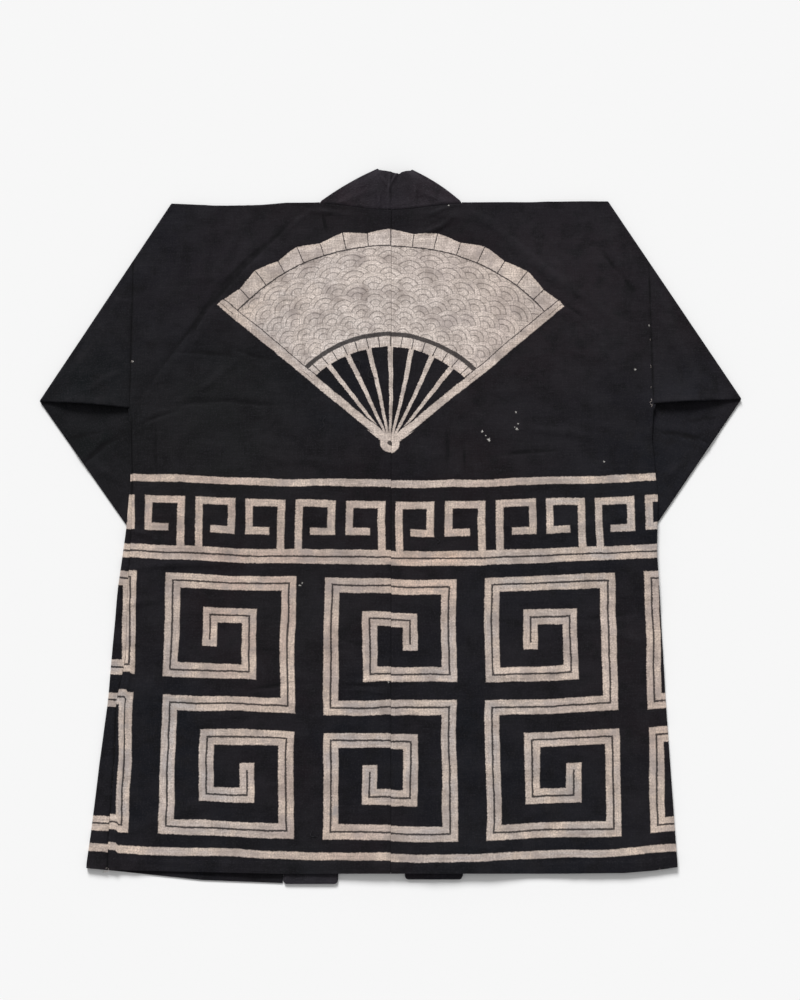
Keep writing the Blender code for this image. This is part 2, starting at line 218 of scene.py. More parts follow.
# The camera's aim: X and Y from the middle of the coat's box, and height
AIM = (0.01187, 0.01309)
AIM_Z = 0.003
CLIP_END = 50.0

# The floor's half width and its place below the cloth, and the lamp's width and its turns
FLOOR_HALF = 6.0
FLOOR_Z = -0.0002
SUN_WIDTH = math.radians(22)
SUN_TURN = (math.radians(-58), 0.0, math.radians(14))

SIGN = {"left": -1.0, "right": 1.0}
SEED = 41


def table(columns, *rows):
    """A short table as a dictionary of named columns."""
    return dict(zip(columns.split(), np.array(rows, float).T))


def each(rows):
    """The rows of a table, each a dictionary of its own."""
    return [dict(zip(rows, values)) for values in zip(*rows.values())]


SHOULDER = table(
    "x y",
    (-0.283, 0.4040),
    (-0.224, 0.4010),
    (-0.175, 0.4020),
    (-0.135, 0.4050),
    (-0.091, 0.4055),
    (0.091, 0.4055),
    (0.190, 0.4065),
    (0.281, 0.4070),
)
BACK_HEM = table(
    "x y",
    (-0.337, -0.4360),
    (-0.135, -0.4403),
    (0.202, -0.4403),
    (0.279, -0.4395),
    (0.313, -0.4367),
    (0.342, -0.4326),
)
FRONT_HEM = table(
    "x y",
    (-0.361, -0.4337),
    (-0.329, -0.4367),
    (-0.223, -0.4476),
    (-0.129, -0.4511),
    (0.086, -0.4390),
    (0.342, -0.4310),
)
# out: the side's furthest reach; wrap: how far the lower or upper cloth goes on round it
SIDE = {
    "left": table(
        "y out wrap",
        (-0.434, 0.3605, 0.024),
        (-0.401, 0.3572, 0.020),
        (-0.310, 0.3496, 0.016),
        (-0.235, 0.3421, 0.009),
        (-0.185, 0.3396, 0.016),
        (-0.099, 0.3347, 0.011),
        (-0.024, 0.3267, 0.005),
        (0.044, 0.3234, 0.001),
        (0.131, 0.3277, 0.001),
    ),
    "right": table(
        "y out wrap",
        (-0.433, 0.3416, 0.012),
        (-0.320, 0.3375, 0.012),
        (-0.235, 0.3343, 0.012),
        (-0.129, 0.3316, 0.012),
        (-0.050, 0.3292, 0.010),
        (0.016, 0.3325, 0.006),
        (0.089, 0.3273, 0.002),
        (0.136, 0.3308, 0.001),
    ),
}
# The collar's wavy free edge behind the neck
COLLAR_TOP = table(
    "x y lift",
    (-0.0167, 0.4523, 0.000),
    (-0.0101, 0.4477, 0.002),
    (-0.0049, 0.4458, 0.002),
    (0.0028, 0.4434, 0.001),
    (0.0106, 0.4415, 0.000),
    (0.0145, 0.4440, 0.002),
    (0.0195, 0.4460, 0.003),
    (0.0274, 0.4510, 0.000),
)
# The solids' own folds: middle, half length, half width, rise, turn from X in degrees, and
# whether both layers rise or the back alone
FOLDS = table(
    "x y long wide rise turn both",
    (0.055, -0.445, 0.075, 0.060, 0.0026, 0, 0),
    (0.262, -0.440, 0.055, 0.050, 0.0021, 0, 0),
    (0.335, -0.432, 0.030, 0.040, 0.0012, 0, 0),
    (-0.345, -0.432, 0.030, 0.040, 0.0012, 0, 0),
    (-0.190, 0.290, 0.130, 0.020, 0.0016, 46, 0),
    (-0.205, 0.120, 0.085, 0.018, 0.0014, 5, 0),
    (0.060, -0.225, 0.070, 0.022, 0.0014, 12, 0),
    (0.190, 0.330, 0.090, 0.024, 0.0012, -38, 0),
    (-0.382, 0.136, 0.042, 0.020, 0.0040, -4, 1),
    (0.366, 0.138, 0.042, 0.020, 0.0040, 4, 1),
)
# Finer creases: bow bends the line, and lean makes one flank the steeper
CREASES = table(
    "x y long wide rise turn bow lean both",
    (-0.221, 0.273, 0.150, 0.0033, -0.0009, 51, 0.009, 0.8, 0),
    (-0.190, 0.318, 0.060, 0.0036, -0.0009, 46, 0.003, 0.6, 0),
    (-0.150, 0.300, 0.090, 0.0110, -0.0007, 50, 0.002, 0.0, 0),
    (-0.243, 0.241, 0.036, 0.0031, -0.0010, 68, 0.002, 0.7, 0),
    (-0.229, 0.201, 0.031, 0.0029, -0.0011, -5, 0.002, 0.8, 0),
    (-0.173, 0.198, 0.030, 0.0029, -0.0010, -16, -0.002, 0.8, 0),
    (-0.239, 0.137, 0.034, 0.0028, -0.0012, 6, 0.002, 0.9, 0),
    (-0.176, 0.135, 0.034, 0.0029, -0.0011, -6, -0.002, 0.8, 0),
    (-0.291, 0.118, 0.023, 0.0029, -0.0011, 22, 0.001, 0.7, 0),
    (-0.292, 0.077, 0.030, 0.0031, -0.0009, 93, 0.001, 0.7, 0),
    (-0.086, 0.377, 0.012, 0.0026, -0.0010, -76, 0.001, 0.8, 0),
    (0.070, 0.077, 0.028, 0.0028, -0.0009, -89, 0.001, 0.8, 0),
    (0.094, 0.068, 0.020, 0.0028, -0.0008, -89, 0.001, -0.8, 0),
    (-0.040, -0.168, 0.022, 0.0028, -0.0009, -16, 0.001, 0.8, 0),
    (-0.140, -0.219, 0.030, 0.0029, -0.0009, 7, 0.001, 0.8, 0),
    (0.240, 0.252, 0.034, 0.0034, -0.0010, -39, 0.002, 0.7, 0),
    (0.293, 0.306, 0.042, 0.0033, -0.0010, -54, 0.002, 0.7, 0),
    (0.174, 0.073, 0.038, 0.0031, -0.0010, 5, 0.002, 0.7, 0),
    (0.067, -0.061, 0.030, 0.0031, -0.0008, 5, 0.001, 0.7, 0),
    (0.269, -0.133, 0.036, 0.0033, -0.0009, 8, 0.002, 0.7, 0),
    (-0.254, -0.239, 0.036, 0.0033, -0.0009, -6, 0.002, 0.7, 0),
    (-0.330, -0.113, 0.045, 0.0029, -0.0009, -87, 0.001, 0.7, 0),
    (-0.222, 0.172, 0.056, 0.0055, 0.0009, 40, -0.003, -0.6, 0),
    (-0.256, 0.208, 0.052, 0.0070, 0.0009, 52, 0.002, 0.5, 0),
    (-0.120, 0.262, 0.045, 0.0055, 0.0009, 30, 0.002, 0.4, 0),
    (-0.205, 0.352, 0.060, 0.0075, 0.0011, 64, 0.004, -0.5, 0),
    (-0.268, 0.330, 0.040, 0.0060, 0.0009, 78, 0.002, 0.5, 0),
    (0.058, 0.367, 0.024, 0.0038, 0.0016, 26, -0.004, 0.9, 0),
    (0.062, 0.392, 0.014, 0.0030, 0.0012, 22, 0.000, 0.8, 0),
    (-0.081, 0.3935, 0.028, 0.0034, 0.0013, -6, 0.001, -0.9, 0),
    (-0.118, 0.379, 0.018, 0.0034, 0.0010, 40, 0.001, 0.6, 0),
    (0.105, 0.383, 0.060, 0.0080, 0.0009, -8, 0.002, 0.3, 0),
    (0.160, 0.345, 0.075, 0.0070, 0.0012, -42, 0.004, 0.6, 0),
    (-0.018, -0.213, 0.036, 0.0028, 0.0015, 2, 0.001, 0.9, 0),
    (-0.028, -0.222, 0.022, 0.0026, 0.0010, -6, 0.001, -0.8, 0),
    (0.050, -0.196, 0.030, 0.0055, 0.0010, 10, 0.002, 0.4, 0),
    (-0.262, -0.070, 0.058, 0.0055, 0.0014, 3, 0.004, 0.8, 0),
    (-0.300, -0.112, 0.034, 0.0045, 0.0011, 9, -0.002, -0.6, 0),
    (-0.310, -0.030, 0.022, 0.0045, 0.0010, -20, 0.001, 0.7, 0),
    (-0.318, -0.190, 0.020, 0.0065, 0.0012, 75, 0.001, 0.5, 0),
    (0.225, 0.290, 0.080, 0.0080, 0.0013, -35, 0.003, 0.5, 0),
    (0.268, 0.215, 0.050, 0.0070, 0.0013, -64, 0.003, -0.4, 0),
    (0.286, 0.330, 0.036, 0.0060, 0.0010, -76, 0.002, 0.6, 0),
    (0.150, 0.150, 0.070, 0.0100, 0.0010, 12, 0.003, 0.3, 0),
    (0.210, 0.098, 0.060, 0.0065, 0.0011, -7, 0.003, 0.6, 0),
    (-0.090, 0.060, 0.070, 0.0080, 0.0010, -4, 0.003, 0.4, 0),
    (0.240, -0.020, 0.060, 0.0080, 0.0010, 8, -0.003, 0.4, 0),
    (0.290, -0.160, 0.040, 0.0070, 0.0011, -18, 0.002, 0.6, 0),
    (0.170, -0.200, 0.055, 0.0060, 0.0010, 5, 0.002, -0.6, 0),
    (-0.200, -0.250, 0.060, 0.0090, 0.0010, 14, 0.003, -0.4, 0),
    (0.130, -0.320, 0.070, 0.0100, 0.0010, -6, 0.004, 0.3, 0),
    (-0.260, -0.372, 0.055, 0.0080, 0.0012, 18, 0.003, 0.5, 0),
    (0.000, -0.400, 0.060, 0.0090, 0.0010, 4, 0.003, 0.3, 0),
    (-0.378, 0.133, 0.048, 0.0110, 0.0024, -3, 0.000, 0.0, 1),
    (0.372, 0.135, 0.048, 0.0110, 0.0024, 3, 0.000, 0.0, 1),
    (-0.385, 0.205, 0.050, 0.0070, 0.0015, 58, 0.002, 0.5, 0),
    (-0.362, 0.170, 0.030, 0.0055, 0.0012, 30, 0.002, -0.5, 0),
    (-0.350, 0.262, 0.040, 0.0065, 0.0011, 66, 0.002, 0.5, 0),
    (0.372, 0.205, 0.055, 0.0070, 0.0015, -60, 0.003, -0.5, 0),
    (0.350, 0.262, 0.040, 0.0065, 0.0011, -70, 0.002, 0.5, 0),
)
# Swells and creases of the sleeves' folded-under parts, where they show past the body
FLAP_SWELLS = table(
    "x y long wide rise turn",
    (-0.366, 0.080, 0.045, 0.0160, 0.0022, 38),
    (0.374, 0.092, 0.048, 0.0150, 0.0022, -12),
)
FLAP_CREASES = table(
    "x y long wide rise turn bow lean",
    (-0.364, 0.076, 0.030, 0.0032, -0.0015, 40, 0.002, 0.6),
    (-0.385, 0.098, 0.026, 0.0034, -0.0010, 12, 0.001, -0.6),
    (-0.352, 0.050, 0.022, 0.0050, 0.0012, -34, 0.001, -0.5),
    (0.369, 0.094, 0.034, 0.0032, -0.0015, -12, 0.002, 0.6),
    (0.392, 0.116, 0.024, 0.0034, -0.0009, 8, 0.001, 0.6),
    (0.350, 0.052, 0.022, 0.0050, 0.0012, 40, 0.001, -0.5),
)
COLLAR_CREASES = table(
    "x y long wide rise turn bow lean",
    (-0.001, 0.421, 0.022, 0.0019, 0.0017, 88, 0.001, 0.9),
    (0.005, 0.438, 0.012, 0.0019, 0.0013, 58, 0.001, -0.8),
    (-0.009, 0.434, 0.010, 0.0019, 0.0012, 122, 0.001, 0.8),
    (-0.0139, 0.406, 0.010, 0.0020, 0.0010, 88, 0.000, 0.8),
    (0.0325, 0.412, 0.013, 0.0022, 0.0011, 92, 0.001, 0.8),
    (-0.050, 0.410, 0.030, 0.0045, 0.0009, 22, 0.002, 0.5),
    (0.056, 0.414, 0.028, 0.0045, 0.0009, -24, 0.002, -0.5),
)
# Loose ends of thread: start, length, heading in degrees and how it curls on the way, the height
# above the cloth at the middle, and the height that it drops to at its end
LOOSE_DARK = table(
    "x y long heading curl loft drop",
    (-0.0480, 0.1900, 0.030, 10, -2.6, 0.0010, 0.0),
    (-0.0300, 0.1860, 0.026, -100, 1.4, 0.0008, 0.0),
    (0.0570, -0.0440, 0.012, 30, 2.0, 0.0005, 0.0),
    (-0.0850, -0.3980, 0.016, 200, -2.0, 0.0006, 0.0),
    (-0.0885, 0.1020, 0.022, 62, 0.5, 0.0006, 0.0),
)
LOOSE_PALE = table(
    "x y long heading curl loft drop",
    (0.3255, 0.1366, 0.0075, 35, 1.2, 0.0010, 0.0),
    (0.3262, 0.1358, 0.0060, -30, -1.5, 0.0008, 0.0),
    (-0.3250, 0.1920, 0.0045, 160, 2.0, 0.0006, 0.0),
    (-0.3330, -0.4335, 0.0120, 235, -1.0, 0.0000, 0.0021),
    (-0.3345, -0.4338, 0.0085, 200, 1.5, 0.0000, 0.0021),
    (0.3200, -0.4340, 0.0060, 300, 1.0, 0.0000, 0.0020),
    (0.3290, 0.2190, 0.0026, 90, 0.3, 0.0004, 0.0),
    (0.3284, 0.1830, 0.0042, 86, 0.4, 0.0004, 0.0),
    (0.3278, 0.1560, 0.0030, 93, -0.3, 0.0004, 0.0),
)

# Cream bars of the hem's key fret: middle and half lengths of each bar's centre line. u runs out
# from a mirror line, v up from the tier's lower edge. The tall fret's rows are its upper half, and
# the same rows turned half round about the middle bar make the lower half
TALL_FRET = table(
    "u v half_u half_v",
    (0.0265, 0.2475, 0.0, 0.0745),
    (0.0980, 0.3220, 0.0715, 0.0),
    (0.1695, 0.2675, 0.0, 0.0545),
    (0.1215, 0.2130, 0.0480, 0.0),
    (0.0735, 0.2470, 0.0, 0.0340),
    (0.0980, 0.2810, 0.0245, 0.0),
    (0.1225, 0.2665, 0.0, 0.0145),
    (0.0980, 0.1730, 0.0715, 0.0),
)
SHORT_FRET = table(
    "u v half_u half_v",
    (0.0110, 0.0265, 0.0, 0.0315),
    (0.0310, 0.0580, 0.0200, 0.0),
    (0.0510, 0.0405, 0.0, 0.0175),
    (0.0405, 0.0230, 0.0105, 0.0),
)
TALL_REPEAT = 0.196
TALL_HEIGHT = 0.346
SHORT_REPEAT = 0.062
TOP_BORDER_Y = 0.0335
DIVIDER_Y = -0.0600
LOW_BORDER_Y = -0.4210
BORDER_SAG = 0.09
WIDE_BAR = 0.0178
THIN_BAR = 0.0090

# Edges of the print: the dark line in a bar, the paler rim of the cream, how far the edges blur,
# and the size and reach of the noises that make them waver
RESIST_LINE = 0.0023
RIM = 0.0030
BLUR = 0.0007
LINE_BLUR = 0.0005
FINE_BLUR = 0.0003
RIM_BLUR = 0.0012
HARD = 0.0001
WAVERS = ((9.0, 0.0075), (60.0, 0.0016), (520.0, 0.0019))

# The open fan on the back: its pivot, its leaf and pleats, and how much a pleat's point stands
# out in a radian
FAN_PIVOT_Y = 0.0850
FAN_RADIUS = 0.2860
LEAF_RADIUS = 0.1280
FAN_HALF_ANGLE = math.radians(50)
PLEATS = 16
PLEAT_POINT = 0.055
LEAF_BLUR = 0.0005
# Its sticks: half width at the pivot and its growth outward, blur, end, and how far out past the
# guards they fade. Its guards: where they fade at the pivot, middle line and half width. Its
# boss, with the dark hole
STICK_HALF = 0.0012
STICK_GROWTH = 0.016
STICK_BLUR = 0.0004
STICK_END = 0.001
STICKS_OUT = (-0.006, -0.005)
GUARD_ENDS = (0.0, 0.004)
GUARD_IN = 0.0010
GUARD_HALF = 0.0048
BOSS = 0.0120
BOSS_HOLE = 0.0032
# Its dark lines: two arcs across the leaf, one along each guard and where it starts, how far in
# from the guards the arcs end, and half widths
LOW_ARC = LEAF_RADIUS + 0.0165
HIGH_ARC = FAN_RADIUS - 0.0240
GUARD_LINE = 0.0072
GUARD_LINE_FROM = (0.020, 0.021)
LINES_IN = (0.0070, 0.0075)
LOW_ARC_HALF = 0.0030
HIGH_ARC_HALF = 0.0009
FINE_HALF = 0.0006
# Its wave scales, between two radii and this far in from the guards
SCALE_COLUMNS = 8
SCALE_ROWS = 10
SCALES_LOW = LEAF_RADIUS + 0.0201
SCALES_HIGH = FAN_RADIUS - 0.0249
SCALES_IN = (0.0085, 0.0090)
SCALE_INK = 0.5
# A scale's rings, in its own radius: the first, how far apart, and where a line and the bare
# middle fade
RING_START = 0.1
RING_EVERY = 0.15
RING_LINE = (0.040, 0.022)
RING_CENTRE = (0.22, 0.26)
# How much higher the print stands on the right width than on the left, where they were sewn
RIGHT_PRINT_UP = 0.0012

# Small pale specks of lime or lint on the back, and the scale and reach of their ragged edges
RAGGED = (700.0, 0.0060)
SPECKS = table(
    "x y size",
    (0.1147, 0.1008, 0.0011),
    (0.1231, 0.0902, 0.0016),
    (0.1190, 0.0955, 0.0006),
    (0.1574, 0.1264, 0.0008),
    (0.1583, 0.1044, 0.0012),
    (0.1600, 0.1115, 0.0007),
    (0.1560, 0.1070, 0.0005),
    (0.3088, 0.1823, 0.0008),
    (0.2666, 0.0629, 0.0008),
    (0.3282, 0.2404, 0.0006),
    (-0.3252, 0.1916, 0.0008),
    (-0.1108, -0.0944, 0.0009),
    (-0.1080, -0.0918, 0.0006),
    (-0.0022, -0.2130, 0.0007),
    (0.0725, 0.4177, 0.0007),
    (0.0750, 0.4020, 0.0006),
)
# Stains on the cream: place, reach, colour and strength
STAINS = table(
    "x y size red green blue strength",
    (0.0735, -0.0540, 0.022, 0.62, 0.42, 0.27, 0.55),
    (0.0800, 0.1750, 0.060, 0.74, 0.50, 0.38, 0.60),
    (-0.0598, -0.3700, 0.012, 0.04, 0.16, 0.26, 0.75),
    (-0.1500, 0.2400, 0.050, 0.42, 0.42, 0.44, 0.35),
    (0.2100, -0.3300, 0.018, 0.10, 0.22, 0.24, 0.30),
    (0.1900, 0.2700, 0.055, 0.60, 0.57, 0.54, 0.35),
    (-0.2700, -0.1500, 0.060, 0.40, 0.38, 0.38, 0.35),
    (0.0000, 0.2300, 0.300, 0.98, 0.88, 0.82, 0.80),
    (0.0450, -0.0700, 0.085, 0.92, 0.68, 0.55, 0.80),
    (-0.0550, -0.0800, 0.080, 0.42, 0.37, 0.35, 0.60),
    (0.2600, -0.1800, 0.090, 0.78, 0.66, 0.60, 0.50),
    (-0.2400, -0.3300, 0.100, 0.76, 0.70, 0.68, 0.50),
    (0.0600, -0.4000, 0.090, 0.52, 0.49, 0.48, 0.50),
    (0.1000, -0.2600, 0.110, 0.66, 0.62, 0.60, 0.35),
    (-0.1300, -0.0400, 0.090, 0.62, 0.48, 0.41, 0.40),
)
# Broad patches where the dye is paler, warmer or deeper, as shares of its own colour
PATCHES = table(
    "x y size red green blue strength",
    (0.230, 0.320, 0.210, 1.45, 1.14, 1.20, 0.75),
    (-0.210, 0.310, 0.170, 1.00, 0.80, 0.88, 0.70),
    (-0.210, 0.110, 0.190, 0.48, 0.62, 0.50, 0.95),
    (0.220, 0.110, 0.150, 0.90, 0.84, 0.90, 0.70),
    (-0.385, 0.170, 0.150, 0.22, 0.36, 0.36, 0.95),
    (-0.365, 0.060, 0.120, 0.32, 0.46, 0.40, 0.95),
    (0.385, 0.150, 0.100, 0.74, 0.80, 0.92, 0.90),
    (0.365, 0.060, 0.100, 0.62, 0.70, 0.82, 0.90),
    (-0.100, -0.440, 0.100, 0.56, 0.68, 0.70, 0.80),
    (0.100, -0.440, 0.100, 0.60, 0.70, 0.73, 0.80),
    (-0.110, -0.120, 0.120, 0.66, 0.74, 0.70, 0.70),
    (0.150, -0.180, 0.120, 0.90, 0.84, 0.90, 0.60),
)
# Shares of red, green and blue that turn the dye and the cream into their own shades
COOL_DYE = (0.36, 0.45, 0.58)
WARM_DYE = (0.74, 0.54, 0.56)
FADED_DYE = (1.05, 0.98, 1.02)
# The worn dye serves fades, grain and wear, and on crease ridges a painted highlight as well
WORN_DYE_AND_HIGHLIGHT = (1.75, 1.75, 1.75)
RUBBED_DYE = (3.2, 3.6, 4.0)
# The deep dye serves dye blotches, and painted shade in crease troughs and seams
DEEP_DYE_AND_SHADE = (0.38, 0.38, 0.38)
BAND_DYE = (1.80, 1.80, 1.80)
THREAD_DYE = (1.7, 1.7, 1.7)
GREY_CREAM = (0.86, 0.92, 1.00)
PINK_CREAM = (1.06, 0.90, 0.84)
CLEAN_CREAM = (1.50, 1.38, 1.24)
# The dusty cream serves dust and grain, and painted shade where the weave's slubs are low
DUSTY_AND_SHADED_CREAM = (0.50, 0.47, 0.46)
SOILED_CREAM = (0.62, 0.60, 0.62)
NO_TINT = (1.0, 1.0, 1.0)
STRAND_SHADES = ((0.7, 0.7, 0.7), (1.25, 1.25, 1.25))
# Colours of their own
FLECK = (0.20, 0.13, 0.09)
SPECK = (0.50, 0.48, 0.45)
FLOOR = (0.93, 0.93, 0.93)

# Slow changes of the cloth's colour: where in the noise, its scale, detail and roughness, and the
# values between which the change goes from none to full
CLOUDING = {
    "Tone": (0.0, 0.0, 7.0, 5.0, 0.62, 0.33, 0.67),
    "Warmth": (3.1, 1.7, 3.2, 3.0, 0.55, 0.36, 0.64),
    "Blotch": (0.0, 0.0, 48.0, 4.0, 0.65, 0.42, 0.70),
    "Fade": (5.3, 2.9, 21.0, 4.0, 0.62, 0.42, 0.62),
}
# The weave: scale and reach of the threads' wander, scales in X and Y of the slubs both ways and
# their rise, puckers as scales in X and Y and a rise, the threads' rise, and scale of the grain
WANDER = (60.0, 0.0016)
SLUBS = ((620.0, 46.0), (40.0, 560.0))
SLUB_RISE = 1.6
PUCKERS = ((26.0, 60.0, 5.0), (75.0, 34.0, 3.5), (150.0, 190.0, 1.6))
WOVEN_RISE = 0.5
GRAIN = 520.0
# The bump that the weave and a thread's strands make: strength and depth
WEAVE_BUMP = (0.7, 0.00040)
STRAND_BUMP = (0.5, 0.0001)
STRANDS = 2600.0


def look_up(rows, column, key, value):
    """A table's column at values of its key column, straight between the rows."""
    return np.interp(value, rows[key], rows[column])


def ease(value, start, end):
    """0 before start and 1 after end, with a smooth slope between."""
    t = np.clip((value - start) / (end - start), 0.0, 1.0)
    return t * t * (3 - 2 * t)


def stretches(ends, steps):
    """Rising numbers from stretch to stretch, each in equal steps of about the length given."""
    runs = [np.array(ends[:1], float)]
    for a, b, step in zip(ends, ends[1:], steps):
        count = max(1, round(abs(b - a) / step))
        runs.append(a + (b - a) * np.arange(1, count + 1) / count)
    return np.concatenate(runs)


def soft_noise(x, y, size, seed):
    """Gradient noise of about -1 to 1: random slopes on a square lattice of that size, blended."""
    slopes = np.random.default_rng(seed).uniform(-1, 1, (2, 64, 64))
    u, v = x / size, y / size
    column, row = np.floor(u).astype(int), np.floor(v).astype(int)
    u, v = u - column, v - row
    corner = [
        slopes[0][(row + j) % 64, (column + i) % 64] * (u - i)
        + slopes[1][(row + j) % 64, (column + i) % 64] * (v - j)
        for j in (0, 1)
        for i in (0, 1)
    ]
    s, t = (w * w * w * (w * (6 * w - 15) + 10) for w in (u, v))
    low, high = corner[0] * (1 - s) + corner[1] * s, corner[2] * (1 - s) + corner[3] * s
    return 2 * (low * (1 - t) + high * t)


def layer_height(angle):
    """Height of the middle of a layer turned by this angle from the lower to the upper."""
    return LAYER / 2 + TURN * (1 - np.cos(angle))


def shoulder_axis(x):
    """Y of the axis that the cloth turns about over the shoulder."""
    return look_up(SHOULDER, "y", "x", x) - REACH


def neck_seam(x):
    """Y of the back's neck edge: a shallow scoop between the two neck points."""
    return TOP_Y - NECK_DROP * np.cos(math.pi * x / (2 * NECK_OUT)) ** 2


def band_seam(side, y):
    """Distance out of the seam between a front and its collar band."""
    down = (TOP_Y - y) / (TOP_Y - HEM_Y)
    return NECK_OUT + down * (BAND_SEAM_AT_HEM[side] - NECK_OUT)


def armhole(side, y):
    """Distance out of the seam between the body and its sleeve."""
    foot_out, foot_y = FOOT[side]
    return foot_out + (ARMHOLE_OUT - foot_out) * (y - foot_y) / (TOP_Y - foot_y)


def fold_frame(side):
    """Start of the sleeve's folding axis, its direction, and the way outward from it."""
    start = np.array(FOLD_START[side])
    along = np.array(FOLD_TIP[side]) - start
    along /= np.linalg.norm(along)
    outward = np.array([-along[1], along[0]])
    return start - FOLD_REACH * outward, along, outward


def sleeve_foot(side, out):
    """Y of the sleeve's lower edge, level near the body and rising toward the cuff."""
    foot_out, foot_y = FOOT[side]
    tip_out, tip_y = FOLD_TIP[side]
    outs = (foot_out, tip_out, foot_out + SLEEVE_LENGTH)
    return np.interp(out, outs, (foot_y, tip_y, tip_y + CUFF_RISE))


def folded_outline(side):
    """Corners of the sleeve once folded under, in (out, y)."""
    origin, _, outward = fold_frame(side)
    cuff_out = FOOT[side][0] + SLEEVE_LENGTH
    cuffs = [(cuff_out, TOP_Y), (cuff_out, float(sleeve_foot(side, cuff_out)))]
    turned = [c - 2 * np.dot(c - origin, outward) * outward for c in map(np.array, cuffs)]
    return [np.array(FOLD_START[side]), *turned, np.array(FOLD_TIP[side])]


OUTLINES = {side: folded_outline(side) for side in SIGN}


def outside(corners, out, y):
    """How far points lie outside a convex outline, or below zero inside it."""
    middle = np.mean(corners, axis=0)
    furthest = np.full(np.shape(out), -1.0)
    for a, b in zip(corners, corners[1:] + corners[:1]):
        across = np.array([b[1] - a[1], a[0] - b[0]])
        across /= np.linalg.norm(across)
        if np.dot(middle - a, across) > 0:
            across = -across
        furthest = np.maximum(furthest, (out - a[0]) * across[0] + (y - a[1]) * across[1])
    return furthest


def base(x, y):
    """Height of what the lower layer lies on: the folded sleeve, or the surface."""
    clear = 1.0
    for side, sign in SIGN.items():
        clear = clear * ease(outside(OUTLINES[side], sign * x, y), SLACK, SETTLED)
    return FOLDED * (1 - clear)


def bridge(x, y):
    """How much more the back stands off where it crosses the collar's bands."""
    seam = np.where(x < 0, band_seam("left", y), band_seam("right", y))
    return BRIDGE * (1 - ease(np.abs(x) - seam, BRIDGE_SLACK, BRIDGE_SETTLED))


def bell(distance, half_width):
    """1 on a line, and soft slopes down to nothing on both sides of it."""
    return np.exp(-((distance / half_width) ** 2))


def mounds(rows, x, y, upper):
    """Sum of long soft mounds, one a row: a bell along and across its own bowed, turned line.

    A row's lean tips the bell over, into a ridge with a trough beside it. A row counts in full
    where its "both" is 1, and otherwise by upper, which is 1 on the back and 0 below it.
    """
    total = np.zeros(np.shape(x))
    for row in each(rows):
        turn = math.radians(row["turn"])
        dx, dy = x - row["x"], y - row["y"]
        along = (dx * math.cos(turn) + dy * math.sin(turn)) / row["long"]
        across = (dy * math.cos(turn) - dx * math.sin(turn)) + row.get("bow", 0.0) * along**2
        across = across / row["wide"]
        tipped = 1 + 2.0 * row.get("lean", 0.0) * across
        share = np.maximum(row.get("both", 0.0), upper)
        total += share * row["rise"] * tipped * bell(along, 1.0) * bell(across, 1.0)
    return total


def unevenness(x, y):
    """Rise that all the layers share: the slight swell of cloth that has been stored folded."""
    drift = 1 + soft_noise(x, y, SWELL_DRIFT, SEED + 1)
    return SWELL * drift * (1 + soft_noise(x, y, SWELL_SIZE, SEED)) / 2


def crumple(x, y):
    """Rise of the back's cloth between its larger creases: soft swells and faint bent lines.

    A line runs where noise at bent places is near zero: it rises by the cube of one less the
    noise's size times the sharpness. Slower noise says where there are lines at all.
    """
    rise = CRUMPLE
    for k, (size, height) in enumerate(CRUMPLE_SWELLS):
        rise = rise + height * soft_noise(x, y, size, SEED + 2 + k)
    size, reach = CRUMPLE_BEND
    bent_x = x + reach * soft_noise(x, y, size, SEED + 4)
    bent_y = y + reach * soft_noise(x, y, size, SEED + 5)
    for k, (size, x_share, y_share, sharp, spread, low, high, height) in enumerate(CRUMPLE_LINES):
        along = soft_noise(bent_x * x_share, bent_y * y_share, size, SEED + 6 + 2 * k)
        where = ease(soft_noise(x, y, spread, SEED + 7 + 2 * k), low, high)
        rise = rise + height * where * np.maximum(1 - sharp * np.abs(along), 0) ** 3
    return rise


def left_side_seam(y):
    """Distance out of the left side seam, which shows on the back where the front wraps over."""
    return look_up(SIDE["left"], "out", "y", y) - REACH - look_up(SIDE["left"], "wrap", "y", y)


def seam_dip(x, y):
    """How far the back sinks into its seams: centre back, armholes and the left side."""
    depth, half = CENTRE_DIP
    dip = depth * bell(x - CENTRE_SEAM_X, half) * (y < TOP_Y - NECK_DROP)
    depth, half = SEAM_DIP
    left = np.where(y > FOOT["left"][1], armhole("left", y), left_side_seam(y))
    right_shown = y > FOOT["right"][1] - ARMHOLE_END
    return dip + depth * bell(-x - left, half) + depth * bell(x - armhole("right", y), half) * right_shown


def hem_ridge(x, y):
    """The doubled cloth of the turned hem, a soft step above the hem's edge."""
    above = y - look_up(BACK_HEM, "y", "x", x)
    place, depth, half = HEM_DIP
    return HEM_RISE * (1 - ease(above, *HEM_STEP)) - depth * bell(above - place, half)


def side_tuck(x, y):
    """A pressed line beside the left side seam, where the cloth was once folded."""
    rise, half = TUCK
    return rise * bell(left_side_seam(y) - TUCK_IN + x, half) * (1 - ease(y, *TUCK_FADE))


